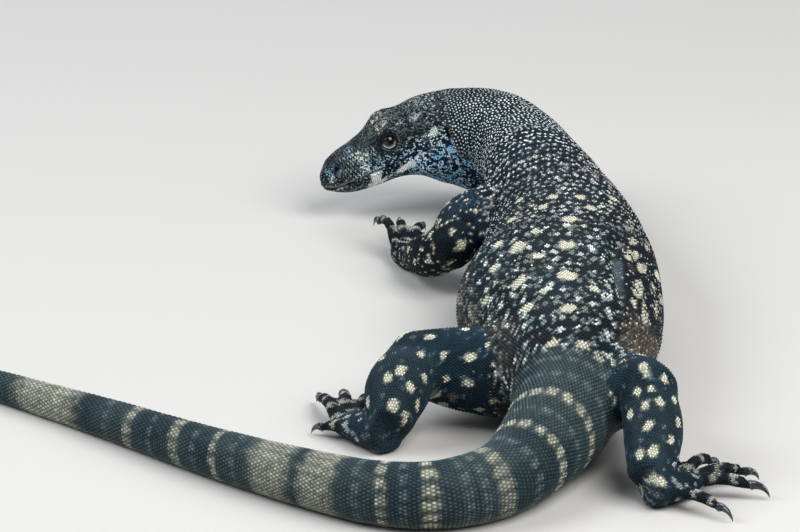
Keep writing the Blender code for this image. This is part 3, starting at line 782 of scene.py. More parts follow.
def ring_of_scales(line, k, odd):
    """The places and angles of one ring of scales."""
    angles = np.linspace(-math.pi, math.pi, RAYS + 1)
    out = around(line, k, angles)
    wish = expected_reach(line, k, angles)
    slack = 0.3 if line is spine_line else 0.5
    good = (np.abs(out - wish) < slack * wish + 0.6) & (out > 0)
    out = np.where(good, out, wish)
    across = np.sin(angles) * out
    above = np.cos(angles) * out
    arc = np.concatenate(([0], np.cumsum(np.hypot(np.diff(across), np.diff(above)))))
    arc -= np.interp(0, angles, arc)
    size = float(scale_size(line["name"], line["run"][k]))
    first = math.ceil(arc[0] / size - odd / 2)
    last = math.floor(arc[-1] / size - odd / 2)
    spots = (np.arange(first, last + 1) + odd / 2) * size
    turns = np.interp(spots, arc, angles)
    reach = np.interp(spots, arc, out)
    sure = np.interp(spots, arc, good.astype(float)) > 0.99
    ways = line["top"][k] * np.cos(turns)[:, None] + line["side"][k] * np.sin(turns)[:, None]
    places = line["place"][k] + ways * reach[:, None]
    return places[sure], turns[sure]


def rings_along(number, line, start=1.5):
    """Every scale place round one middle line, as rows of place, line number, place on it and angle."""
    rows = []
    run = line["run"]
    at = start
    odd = 0
    while at < run[-1] - 0.5:
        k = int(np.searchsorted(run, at))
        places, turns = ring_of_scales(line, min(k, len(run) - 1), odd)
        for place, turn in zip(places, turns):
            rows.append((*place, number, run[min(k, len(run) - 1)], turn))
        at += float(scale_size(line["name"], at)) * RING_PITCH
        odd = 1 - odd
    return rows


class Plot:
    """Ground where scales are planted, none too near another."""

    def __init__(self, cell):
        self.cell = cell
        self.beds = {}

    def free(self, place, room):
        """Whether no scale stands within room of a place."""
        x, y, z = place
        i, j, k = int(x // self.cell), int(y // self.cell), int(z // self.cell)
        limit = room * room
        for a in (i - 1, i, i + 1):
            for b in (j - 1, j, j + 1):
                for c in (k - 1, k, k + 1):
                    for px, py, pz in self.beds.get((a, b, c), ()):
                        if (px - x) ** 2 + (py - y) ** 2 + (pz - z) ** 2 < limit:
                            return False
        return True

    def plant(self, place):
        """Puts a scale at a place."""
        x, y, z = place
        key = (int(x // self.cell), int(y // self.cell), int(z // self.cell))
        self.beds.setdefault(key, []).append((x, y, z))


def bare(points):
    """Places of the head that carry no common scale: eyes, mouth line, nostrils and ears."""
    places = points - SHIFT
    along, out, high = head_places(places)
    x, y, z = eye_measures(places)
    eye = (np.hypot(x, y) < 5.9) & (z > -3)
    mouth = (np.abs(high - mouth_height(along)) < LIP_BAND) & (along < MOUTH_END - 2)
    mouth |= (np.abs(high - mouth_height(along)) < 0.6) & (along < MOUTH_END + 1)
    nostril = nostril_rings(along, out, high) < 1.5
    ear = ear_rings(along, out, high) < 0.72
    return on_head_part(places) & (eye | mouth | nostril | ear)


def along_head(places):
    """Skin places near points given in the head's measures, for both sides of the head."""
    rows = []
    for side in (1, -1):
        wish = np.array([on_head(a, out * side, high) for a, out, high in places])
        found, _, _ = nearest_on(skin_tree, wish)
        rows += [(*(place + SHIFT), HEAD_LINE, *head_turn(place)) for place in found]
    return rows


def head_turn(place):
    """The distance and angle round the head's middle of a layout point."""
    along, out, high = (float(value[0]) for value in head_places(place[None, :]))
    return np.clip(along, 0.5, HEAD_LENGTH), math.atan2(out, high)


# Rows along the mouth: height over the mouth line, distance between scales
LIP_ROWS = ((1.15, 1.75), (-1.15, 1.7), (2.5, 1.5), (-2.45, 1.45))
LIP_OUT = 25  # lip scales are sought from this far out
# Rings round the eye: radius, distance between scales
LID_ROWS = ((4.35, 0.72), (5.05, 0.8), (5.8, 0.9))
LID_OUT = 4.5  # how far the lid's rings lie out of the eye's middle


def lip_rows():
    """Rows of scales just above and below the mouth line."""
    rows = []
    for gap, step in LIP_ROWS:
        for along in np.arange(3.5, MOUTH_END - 1, step):
            rows.append((along, LIP_OUT, float(mouth_height(along)) + gap))
    return rows


def lid_rows():
    """Rings of small scales round the eye, from the lid's rim outwards."""
    rows = []
    for radius, size in LID_ROWS:
        count = int(2 * math.pi * radius / size)
        for n in range(count):
            turn = 2 * math.pi * n / count
            x = radius * math.cos(turn)
            y = radius * math.sin(turn)
            out = EYE_PLACE[1] - y * math.sin(GAZE_LIFT) + LID_OUT * math.cos(GAZE_LIFT)
            up = EYE_PLACE[2] + y * math.cos(GAZE_LIFT) + LID_OUT * math.sin(GAZE_LIFT)
            rows.append((EYE_PLACE[0] + x, out, up))
    return rows


CELL = 1.5
LIP_ROOM = 0.9
LID_ROOM = 0.55
plot = Plot(CELL)
planted = []
for group, room in ((lip_rows(), LIP_ROOM), (lid_rows(), LID_ROOM)):
    for row in along_head(group):
        if plot.free(row[:3], room):
            plot.plant(row[:3])
            planted.append(row)
face_scales = len(planted)
print(face_scales, "scales on lips and lids")
for number, line in enumerate(lines):
    rows = rings_along(number, line)
    if not rows:
        continue
    skip = bare(np.array(rows)[:, :3])
    sizes = scale_size(line["name"], np.array(rows)[:, 4])
    for row, skipped, size in zip(rows, skip, sizes):
        if not skipped and plot.free(row[:3], ROOM * size):
            plot.plant(row[:3])
            planted.append(row)
print(len(planted), "scales in rings")

# %% Fill the places between the rings
TRIES = 420_000
random = np.random.default_rng(11)
skin_mesh.calc_loop_triangles()
corners = np.empty(len(skin_mesh.loop_triangles) * 3, np.int32)
skin_mesh.loop_triangles.foreach_get("vertices", corners)
skin_places = mesh_points(skin_mesh) + SHIFT
corners = skin_places[corners.reshape(-1, 3)]
areas = np.linalg.norm(np.cross(corners[:, 1] - corners[:, 0], corners[:, 2] - corners[:, 0]), axis=1) / 2
picked = random.choice(len(areas), TRIES, p=areas / areas.sum())
share = random.random((TRIES, 2))
share = np.where(share.sum(axis=1)[:, None] > 1, 1 - share, share)
tries = corners[picked, 0] + (corners[picked, 1] - corners[picked, 0]) * share[:, :1]
tries += (corners[picked, 2] - corners[picked, 0]) * share[:, 1:]
tries = tries[~bare(tries)]


ringed = np.array(planted)
ring_tree = tree_of(ringed[:, :3])
FILL_ROOM = 0.78


def measure_on(line, place):
    """The distance along a middle line and the angle round it of a place near it."""
    k = int(np.argmin(np.sum((line["place"] - place) ** 2, axis=1)))
    away = place - line["place"][k]
    return line["run"][k], math.atan2(away @ line["side"][k], away @ line["top"][k])


for place in tries:
    _, k, gap = ring_tree.find(place)
    number = int(ringed[k, 3])
    size = float(scale_size(lines[number]["name"], ringed[k, 4]))
    if gap > FILL_ROOM * size and plot.free(place, FILL_ROOM * size):
        plot.plant(place)
        planted.append((*place, number, *measure_on(lines[number], place)))
scales = np.array(planted)
print(len(scales) - len(ringed), "scales between the rings,", len(scales), "in all")

# %% [markdown]
# ## The shape of one scale
# A head scale is a low round bead: a six-sided disc whose top is inset and raised. A body scale is a
# little longer than wide with a soft keel, like a hipped roof. Both are closed below, and so small that
# smooth shading makes them round. Each is made once with mesh operators and then repeated.

# %% Model a bead and a keeled scale
def raised_disc():
    """A six-sided disc raised by one unit, and the points of its top."""
    builder = bmesh.new()
    bmesh.ops.create_circle(builder, cap_ends=True, segments=6, radius=0.6)
    raised = bmesh.ops.extrude_face_region(builder, geom=list(builder.faces))
    top = [item for item in raised["geom"] if isinstance(item, bmesh.types.BMVert)]
    bmesh.ops.translate(builder, verts=top, vec=(0, 0, 1))
    return builder, top


def bead():
    """A low six-sided bead, one unit across, with its rim at 0 and its top at 1."""
    builder, top = raised_disc()
    bmesh.ops.scale(builder, verts=top, vec=(0.62, 0.62, 1))
    return builder


def keeled():
    """A six-sided scale with a ridge along it, one unit long and wide, rim at 0 and ridge at 1."""
    builder, top = raised_disc()
    bmesh.ops.rotate(builder, verts=builder.verts, matrix=Matrix.Rotation(math.radians(30), 3, "Z"))
    front = [vert for vert in top if vert.co.x > 0]
    back = [vert for vert in top if vert.co.x < 0]
    bmesh.ops.pointmerge(builder, verts=front, merge_co=(0.2, 0, 1))
    bmesh.ops.pointmerge(builder, verts=back, merge_co=(-0.25, 0, 1))
    return builder


def shape_of(builder, name):
    """The points and faces of a modelled scale."""
    bmesh.ops.recalc_face_normals(builder, faces=builder.faces)
    builder.verts.index_update()
    points = np.array([vert.co for vert in builder.verts])
    faces = [[vert.index for vert in face.verts] for face in builder.faces]
    builder.free()
    triangles = sum(len(face) - 2 for face in faces)
    print(name, "has", len(points), "points and", triangles, "triangles")
    return points, faces, triangles


BEAD = shape_of(bead(), "bead")
KEELED = shape_of(keeled(), "keeled scale")

# %% [markdown]
# ## Sowing a field of scales
# A field is one mesh that repeats a scale's shape at every place of a part, turned along the body and
# sized by the distance to its neighbours. Each scale is sunk a little into the skin. Its colour is kept
# in an attribute, and its map is a small patch set by its place along and round its middle line.

# %% Directions and sizes of the scales
SUNK = 0.25  # how deep a scale is sunk, as a share of its width
OVERLAP = 1.06  # a scale's length as a share of its width
BEAD_HEIGHT = 0.25
KEEL_HEIGHT = 0.24
SCALE_FLOOR = 0.05  # the lowest height of a scale
# A scale's darker edge is partly painted shade in the crevices between scales, partly the scale's own dark
# edge.
PLAIN_RIM_TONE_AND_SHADE = 0.3  # the share of its colour that a scale keeps at its edge
PATCH = 0.0026


def ways_at(rows):
    """The way the body runs at each scale."""
    ways = np.empty((len(rows), 3))
    for number, line in enumerate(lines):
        mine = rows[:, 3] == number
        if mine.any():
            k = np.clip(np.searchsorted(line["run"], rows[mine, 4]), 0, len(line["run"]) - 1)
            ways[mine] = line["way"][k]
    return ways


scale_places, scale_normals, _ = nearest_on(skin_tree, scales[:, :3] - SHIFT)
scale_ways = ways_at(scales)
scale_ways -= scale_normals * np.sum(scale_ways * scale_normals, axis=1)[:, None]
scale_ways /= np.maximum(np.linalg.norm(scale_ways, axis=1), 1e-6)[:, None]
scale_sides = np.cross(scale_normals, scale_ways)
scale_tree = tree_of(scale_places)
NEIGHBOURS = 4
spread = np.array([np.mean([gap for _, _, gap in scale_tree.find_n(place, NEIGHBOURS)[1:]])
                   for place in scale_places])
sizes = np.empty(len(scales))
for number, line in enumerate(lines):
    mine = scales[:, 3] == number
    sizes[mine] = scale_size(line["name"], scales[mine, 4])
sizes[:face_scales] = spread[:face_scales]
spread = np.clip(spread, sizes * 0.72, sizes * 1.3)
print("scales are", np.round(np.percentile(spread, (5, 50, 95)), 2), "mm apart")


# %% Group the scales by part and sow them
# Where each field of scales starts along the spine's line
SPINE_FIELDS = ((0, "head"), (96, "neck"), (150, "neck_base"), (215, "chest"), (380, "belly"),
                (520, "tail_base"), (760, "tail_end"))


def part_names(rows):
    """The name of the field each scale belongs to."""
    names = np.empty(len(rows), dtype=object)
    run = rows[:, 4]
    spine = rows[:, 3] == 0
    _, out, _ = head_places(rows[:, :3] - SHIFT)
    for low, name in SPINE_FIELDS:
        names[spine & (run >= low)] = name
    names[(names == "head") & (out < 0)] = "head_far_side"
    for number, line in enumerate(lines[1:], 1):
        names[rows[:, 3] == number] = line["name"]
    return names


def map_places(rows):
    """Where each scale's patch lies on the unwrapped skin: along its line, and round it, one strip a line."""
    numbers = scales[rows, 3]
    kinds = np.unique(numbers)
    u = np.zeros(len(rows))
    v = np.zeros(len(rows))
    for strip, number in enumerate(kinds):
        mine = numbers == number
        run, turn = scales[rows[mine], 4], scales[rows[mine], 5]
        steps = np.arange(0, lines[int(number)]["run"][-1] + 1, 0.5)
        rings = np.concatenate(([0], np.cumsum(0.5 / scale_size(lines[int(number)]["name"], steps[1:]))))
        along = np.interp(run, steps, rings)
        u[mine] = (along - along.min()) / max(np.ptp(along), 1e-6)
        v[mine] = (strip + 0.01 + 0.98 * (turn - turn.min()) / max(np.ptp(turn), 1e-6)) / len(kinds)
    return np.stack([0.005 + 0.99 * u, 0.005 + 0.99 * v], axis=1)


def sow(name, shape, rows, height, tint, rim):
    """One mesh of many scales; rim is the share of its colour that a scale keeps at its edge, a darkening
    that is partly painted shade between the scales and partly their own dark edges.
    """
    form, faces, _ = shape
    wide = spread[rows]
    local_z = form[:, 2][None, :] * ((height + SUNK) * wide)[:, None] - (SUNK * wide)[:, None]
    local_x = form[:, 0][None, :] * (wide * OVERLAP)[:, None]
    local_y = form[:, 1][None, :] * wide[:, None]
    points = (scale_places[rows][:, None, :] + scale_ways[rows][:, None, :] * local_x[..., None]
              + scale_sides[rows][:, None, :] * local_y[..., None]
              + scale_normals[rows][:, None, :] * local_z[..., None])
    points[..., 2] = np.maximum(points[..., 2], SCALE_FLOOR)
    points = ((points + SHIFT) * MM).reshape(-1, 3).astype(np.float32)
    ring = np.concatenate([np.array(face) for face in faces])
    starts = np.cumsum([0] + [len(face) for face in faces[:-1]])
    count = len(rows)
    corner = (ring[None, :] + np.arange(count)[:, None] * len(form)).ravel().astype(np.int32)
    first = (starts[None, :] + np.arange(count)[:, None] * len(ring)).ravel().astype(np.int32)
    mesh = bpy.data.meshes.new(name)
    mesh.vertices.add(len(points))
    mesh.vertices.foreach_set("co", points.ravel())
    mesh.loops.add(len(corner))
    mesh.loops.foreach_set("vertex_index", corner)
    mesh.polygons.add(len(first))
    mesh.polygons.foreach_set("loop_start", first)
    mesh.update(calc_edges=True)
    mesh.shade_smooth()
    colours = mesh.color_attributes.new(name="Hide", type="FLOAT_COLOR", domain="POINT")
    lift = np.clip(form[:, 2], 0, 1)
    # Painted shade: each scale darkens from its top down to its edge, as in the crevices between scales;
    # where rim is small this is also the real dark edge round a pale scale.
    shade = rim + (1 - rim) * lift
    paint = np.ones((count, len(form), 4), np.float32)
    paint[..., :3] = tint[rows][:, None, :] * shade[None, :, None]
    colours.data.foreach_set("color", paint.ravel())
    patch = map_places(rows)[:, None, :] + form[None, :, :2] * PATCH
    unwrap = mesh.uv_layers.new(name="OFBake")
    unwrap.uv.foreach_set("vector", patch.reshape(-1, 2)[corner].astype(np.float32).ravel())
    made = bpy.data.objects.new(name, mesh)
    bpy.context.scene.collection.objects.link(made)
    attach(made, "root")
    return made


# %% [markdown]
# ## Markings
# A lace monitor is slate black with a blue sheen. Single pale scales stand close together on its neck,
# grow into ovals and rosettes on the trunk, into round spots on the legs and into rings on the tail. All
# of it is worked out from each scale's place on the body, so skin and scales carry the same markings.
# In the formulas, run is the distance along a middle line, turn the angle round it from its top, and
# across the way round from its top. Lengths are in millimetres, and left of the animal is positive.

# %% Helpers for markings
def dots(run, across, pitch, size, seed, jitter=0.5):
    """How strongly each place lies in a field of staggered dots; pitch and size are along and across."""
    row = run / pitch[0]
    column = across / pitch[1]
    best = np.zeros(len(run))
    for i in (-1, 0, 1):
        r = np.round(row) + i
        shift = np.mod(r, 2) * 0.5
        for j in (-1, 0, 1):
            c = np.round(column - shift) + j
            away_run = (row - r - (scatter(r, c, seed) - 0.5) * jitter) * pitch[0]
            away_across = (column - c - shift - (scatter(r, c, seed + 1) - 0.5) * jitter) * pitch[1]
            grow = 0.65 + 0.7 * scatter(r, c, seed + 2)
            gap = np.hypot(away_run / size[0], away_across / size[1]) / grow
            best = np.maximum(best, ease(1.1, 0.75, gap) * (0.4 + 0.6 * scatter(r, c, seed + 3)))
    return best


def singles(run, across, pitch, seed, jitter=0.4):
    """Picks the one scale nearest to each dot's middle, so that it stands alone among dark ones."""
    row = run / pitch[0]
    r = np.round(row)
    shift = np.mod(r, 2) * 0.5
    column = across / pitch[1] - shift
    c = np.round(column)
    gap = np.hypot((row - r - (scatter(r, c, seed) - 0.5) * jitter) * pitch[0],
                   (column - c - (scatter(r, c, seed + 1) - 0.5) * jitter) * pitch[1])
    cell = (r.astype(np.int64) * 4096) + c.astype(np.int64)
    order = np.lexsort((gap, cell))
    first = np.concatenate(([True], cell[order][1:] != cell[order][:-1]))
    picked = np.zeros(len(run))
    picked[order[first]] = 0.55 + 0.45 * scatter(r, c, seed + 2)[order[first]]
    return picked


def lone(places, wanted, room, shuffled):
    """Picks scales that stand at least a given room apart, ring by ring or in a shuffled order."""
    held = Plot(room)
    picked = np.zeros(len(places))
    order = np.flatnonzero(wanted)
    if shuffled:
        order = order[np.argsort(scatter(order, order * 0, 19))]
    for k in order:
        if held.free(places[k], room):
            held.plant(places[k])
            picked[k] = 1
    return picked


def spots(run, across, places, wobble):
    """How strongly each place lies in one of the given spots: run, across, half length, half width."""
    best = np.zeros(len(run))
    for at, off, half_run, half_across in places:
        gap = np.hypot((run - at) / half_run, (across - off) / half_across) + wobble
        best = np.maximum(best, ease(1.15, 0.8, gap))
    return best


def blend(base, colour, share):
    """Base colours, or one base colour, with a share of another colour laid over at each place."""
    return base + (np.array(colour) - base) * share[:, None]


SLATE = (0.004, 0.0075, 0.0115)
TEAL = (0.008, 0.024, 0.04)
LEG_BLUE = (0.013, 0.036, 0.056)
TAIL_SLATE = (0.052, 0.08, 0.087)
TAIL_TEAL = (0.02, 0.042, 0.054)
CREAM = (0.82, 0.8, 0.64)
WHITE = (0.88, 0.94, 0.92)
GREY = (0.22, 0.28, 0.28)
TAIL_CREAM = (0.58, 0.58, 0.46)
BLUE = (0.36, 0.66, 0.9)
BROWN = (0.03, 0.025, 0.02)
GREEN_GREY = (0.44, 0.54, 0.5)
TAN = (0.26, 0.2, 0.135)
FOLD_GREY = (0.1, 0.145, 0.18)
BELLY_PALE = (0.34, 0.36, 0.28)
THROAT_DARK = (0.006, 0.016, 0.035)
TOE_BLACK = (0.01, 0.014, 0.02)
HEAD_BLACK = (0.008, 0.011, 0.015)


# %% Markings of trunk and neck
# Big cream ovals of the back: run, across, half length, half width
BACK_OVALS = ((345, -3, 6, 4.5), (392, -3, 7.5, 5.5), (442, 0, 7.5, 5.5), (487, 2, 5, 4.6), (387, 26, 7, 5),
              (436, 29, 7, 5), (473, 26, 5, 4.5), (429, 55, 4, 4), (366, 15, 4.5, 3.6), (406, 14, 5, 3.6),
              (325, 35, 5, 3.4), (520, 8, 4.2, 4), (521, -8, 4.2, 4), (524, -18, 3.6, 3.4), (460, 14, 4, 3),
              (300, 8, 4, 3), (318, -14, 4.4, 3), (286, 30, 4, 3), (368, 40, 5, 4), (400, 44, 5, 4))


# Rosettes of the flank: run, distance down from the back's middle, half length and half width of each
ROSETTES = ((325, 41, 3.6, 3.0), (346, 46, 3.8, 3.0), (328, 59, 4, 3.4), (376, 46, 7.4, 4.4),
            (385, 55, 6, 4), (426, 48, 6.2, 4.4), (401, 65, 3.4, 3.2), (451, 42, 3.2, 3),
            (448, 53, 4.8, 4.4), (420, 69, 4.4, 4), (352, 74, 5, 4), (388, 80, 4.6, 3.6),
            (443, 86, 3.6, 3.4), (415, 92, 4, 3.6), (364, 92, 4.6, 4))


def rosette_share(run, down, wobble):
    """How strongly each place lies in a rosette; their long side slants down and forwards."""
    best = np.zeros(len(run))
    for at, middle, half_long, half_short in ROSETTES:
        long = (down - middle) - 0.075 * (run - at)
        short = 0.39 * (run - at) + 0.7 * (down - middle)
        gap = np.hypot(long / half_long, short / half_short) + wobble * 0.7
        best = np.maximum(best, ease(1.15, 0.85, gap))
    return best


CLOSE_ROOM = 1.75  # the least distance between pale scales just behind the head
NECK_ROOM = 2.1  # and further back on the neck


def trunk_markings(run, turn, across, places):
    """Colours of the neck and trunk."""
    wobble = (cloud(places, 2.6, 5) - 0.5) * 0.6
    grain = grain_of(places, 11)
    colour = np.array(SLATE)
    colour = blend(colour, TEAL, 0.6 * ease(0.45, 0.7, cloud(places, 26, 3)))
    side = np.abs(turn)
    brown = ease(0.45, 0.7, cloud(places, 15, 9)) * ease(250, 330, run) * ease(2.4, 1.2, side)
    colour = blend(colour, BROWN, 0.4 * brown)
    colour = blend(colour, BROWN, ease(1.0, 1.4, turn) * ease(330, 370, run) * 0.8)
    patchy = 0.5 + 0.5 * ease(0.3, 0.6, cloud(places, 6, 13))
    strength = 0.6 + 0.4 * scatter(np.arange(len(run)), np.zeros(len(run)), 17)
    close = lone(places, (run > 84) & (run < 126), CLOSE_ROOM, False)
    close = close * (0.55 + 0.45 * patchy) * (0.5 + 0.5 * ease(0.2, 0.8, turn))
    neck = lone(places, (run >= 126) & (run < 190), NECK_ROOM, True) * ease(190, 176, run)
    colour = blend(colour, WHITE, np.clip(close + neck * (0.55 + 0.45 * patchy), 0, 1) * strength)
    after = dots(run, across, (6.6, 3.9), (1.6, 1.15), 31, 0.5) * between(run, 172, 190, 240, 262)
    colour = blend(colour, WHITE, after * (0.6 + 0.4 * patchy))
    middle = dots(run, across, (8.2, 4.5), (2.1, 1.3), 35, 0.55) * between(run, 240, 262, 330, 352)
    colour = blend(colour, WHITE, middle * (0.5 + 0.5 * patchy) * 0.95)
    rear = ease(330, 352, run)
    wave = 0.64 + 0.05 * np.sin(run / 17)
    flank = ease(wave + 0.02, wave + 0.1, side) * ease(2.25, 1.95, side) * between(run, 300, 345, 485, 505)
    flank = flank * np.where(turn < 0, 1.0, ease(1.0, 1.5, turn) * 0.6)
    small = dots(run, across, (9.6, 5.0), (2.9, 1.5), 41, 0.6) + wobble * 0.4
    greens = 0.5 + 0.5 * ease(0.3, 0.6, side) * (turn < 0)
    colour = blend(colour, GREEN_GREY, ease(0.25, 0.5, small) * rear * (1 - flank) * patchy * greens)
    bright = dots(run + 3, across + 2, (15, 9.0), (2.8, 1.6), 51, 0.8) + wobble * 0.4
    colour = blend(colour, WHITE, ease(0.35, 0.6, bright) * rear * (1 - flank) * 0.9)
    ovals = spots(run, across, BACK_OVALS, wobble) + spots(run, -across, BACK_OVALS[14:], wobble)
    colour = blend(colour, CREAM, np.clip(ovals, 0, 1))
    colour = blend(colour, SLATE, flank * 0.95)
    petals = ease(0.12, 0.3, grain) * (0.6 + 0.4 * grain)
    rosettes = rosette_share(run, -across * np.where(turn < 0, 1, -1), wobble)
    colour = blend(colour, CREAM, rosettes * flank * petals)
    speckle = singles(run, across, (6.4, 5.2), 71, 0.8) * ease(0.35, 0.6, cloud(places, 8, 73))
    colour = blend(colour, WHITE, speckle * flank * (1 - rosettes) * 0.85)
    border = wobble * 18
    edge = run + 30 * (side - 0.85) + border
    groin = ease(456, 478, edge) * ease(518, 500, run + border) * ease(0.68, 0.9, side + wobble * 0.3)
    groin = groin * ease(1.9, 1.4, side) * np.where(turn < 0, 1.0, 0.25)
    streaks = 0.45 + 0.55 * ease(-0.2, 0.5, np.sin(across * 2 * math.pi / 4.2 + 2 * np.sin(run / 9)))
    colour = blend(colour, TAN, groin * streaks * (0.25 + 0.75 * grain) * 0.85)
    smooth = between(side, 0.6, 0.64, 0.7, 0.76) * between(run, 395, 405, 440, 455) * (turn < 0)
    colour = blend(colour, FOLD_GREY, smooth * 0.85)
    belly = ease(2.0, 2.35, side)
    bands = ease(0.35, 0.6, np.abs(np.mod(run, 30) / 30 - 0.5) * 2 + wobble)
    under = blend(np.array(BELLY_PALE), SLATE, bands * 0.85)
    veins = ease(0.13, 0.05, np.abs(cloud(places, 2.0, 75) - 0.5)) * ease(0.2, 0.45, grain)
    throat = blend(np.array(THROAT_DARK), BLUE, veins * 0.75)
    throat = blend(throat, WHITE, veins * ease(0.5, 0.7, cloud(places, 6, 77)) * 0.7)
    under = throat + (under - throat) * ease(190, 240, run)[:, None]
    low = ease(1.75, 2.2, side) * ease(150, 110, run)
    belly = np.maximum(belly, low)
    return colour * (1 - belly[:, None]) + under * belly[:, None]


# %% Markings of the tail
# Rings across the tail: run, half length, how pale, and how much they break up into dots
TAIL_RINGS = ((534, 2, 0.4, 1), (549, 2.2, 0.4, 1), (565, 2.8, 0.95, 0.9), (579, 2, 0.35, 1),
              (594, 3, 0.9, 0.9), (611, 2.2, 0.45, 1), (627, 3.8, 0.55, 0.7), (637, 2, 0.4, 1),
              (645, 2, 0.4, 1), (660, 3, 0.85, 0.9), (671, 2, 0.35, 1), (682, 2.6, 0.7, 0.9),
              (694, 2, 0.35, 1), (718, 12, 0.62, 0.4), (750, 13, 0.62, 0.4), (775, 2, 0.35, 1),
              (789, 2.6, 0.6, 0.8), (804, 2, 0.35, 1), (819, 3.6, 0.6, 0.7), (837, 2, 0.35, 1),
              (855, 3.4, 0.6, 0.7), (874, 2, 0.35, 1), (922, 22, 0.7, 0.25), (965, 2.6, 0.5, 0.8),
              (982, 2.6, 0.6, 0.8), (1035, 22, 0.7, 0.2), (1085, 4, 0.6, 0.5), (1140, 24, 0.7, 0.15),
              (1215, 24, 0.7, 0.15), (1290, 24, 0.7, 0.15), (1360, 22, 0.7, 0.15), (1425, 20, 0.6, 0.15))


def tail_markings(run, turn, across, places):
    """Colours of the tail."""
    colour = np.array(TAIL_SLATE)
    colour = blend(colour, TAIL_TEAL, 0.7 * ease(0.4, 0.7, cloud(places, 22, 15)))
    wobble = (cloud(places, 3.2, 17) - 0.5) * 0.7
    streak = 0.6 + 0.4 * grain_of(places, 95)
    for number, (at, half, pale, broken) in enumerate(TAIL_RINGS):
        shift = (cloud(places, 30, 19) - 0.5) * 5
        ring = ease(1.3, 0.55, np.abs(run - at - shift) / half + wobble * 0.6)
        pitch = float(np.interp(at, (530, 700, 900), (9.4, 8.8, 6.6))) if broken > 0.5 else 5.0
        bead = np.abs(np.mod(across / pitch + number * 0.37, 1) - 0.5) * 2
        gaps = ease(0.22, 0.5, 1 - bead + wobble * 0.4)
        ring = ring * (1 - broken * (1 - gaps))
        tone = TAIL_CREAM if pale > 0.5 else GREY
        colour = blend(colour, tone, np.clip(ring * min(1, pale + 0.15), 0, 1) * streak)
    under = ease(2.3, 2.7, np.abs(turn))
    return blend(colour, (0.3, 0.31, 0.25), under * 0.45)


# %% Markings of the limbs
LEG_SPOT_SHARE = 0.7
LEG_SPOTS = {
    "leg_left": ((54, 0, 4.2, 3.6), (74, -7, 4, 3.4), (90, -12, 4, 3.4), (65, -22, 4, 3),
                 (47, -22, 4.6, 3.6), (34, -15, 3, 2.6), (107, -5, 4.4, 4.2), (104, -20, 3.6, 3),
                 (60, -36, 4, 3), (46, -37, 4.4, 3.4), (115, -12, 4.4, 3.6), (112, 1, 3.6, 3.2),
                 (126, -2, 4.4, 4), (121, -19, 3.6, 3), (129, -9, 3.6, 3), (95, -45, 4.4, 3.6),
                 (28, -49, 5, 4), (80, 8, 4, 3.5), (62, 12, 4, 3.5), (96, 10, 4, 3.5), (45, 16, 4.4, 3.6),
                 (104, 22, 4, 3.4), (120, 16, 4, 3.4)),
    "leg_right": ((76, 1, 5, 3.4), (80, -9, 4, 3.4), (77, 30, 5, 4), (87, 8, 5, 3), (96, -4, 4, 3.4),
                  (101, 14, 5, 3.4), (98, 4, 4, 3), (113, 2, 4.4, 3.6), (116, -13, 4, 3),
                  (126, -4, 4.6, 4.2), (128, 3, 3.4, 3), (139, -4, 4.4, 4), (87, 0, 3.6, 3),
                  (91, -14, 4, 3.2), (104, -16, 4, 3.4), (60, 14, 4.6, 4), (58, -6, 4.4, 3.6),
                  (64, -22, 4.4, 3.6), (46, 6, 4.4, 3.6)),
    "arm_left": ((49.5, 2.5, 1.9, 2.4), (53.2, -5.5, 1.0, 2.0), (54, -12.4, 1.0, 2.4), (36, -9, 2.2, 2.2),
                 (59, -2, 1.2, 1.4), (57, -18, 1.2, 1.8), (67, -3, 2, 1.6), (75, -9, 3, 2),
                 (65, -11, 2.2, 2.2), (61, -20, 1.8, 3), (29, -2, 1.6, 1.6), (62, 6, 2.4, 2.6),
                 (70, 10, 2.4, 2.6), (48, 12, 2.6, 2.6), (56, 18, 2.6, 2.6), (82, 0, 2.2, 2.4),
                 (30, 12, 2.2, 2.2), (68, -26, 2.4, 2.6)),
    "arm_right": ((30, 4, 2.2, 2.2), (42, -6, 2.4, 2.4), (50, 4, 2.6, 2.6), (60, -4, 2.6, 2.6),
                  (68, 6, 2.4, 2.4), (78, -3, 2.4, 2.4), (46, 14, 2.6, 2.6), (64, 16, 2.6, 2.6),
                  (38, -16, 2.4, 2.4), (56, -18, 2.4, 2.4)),
}


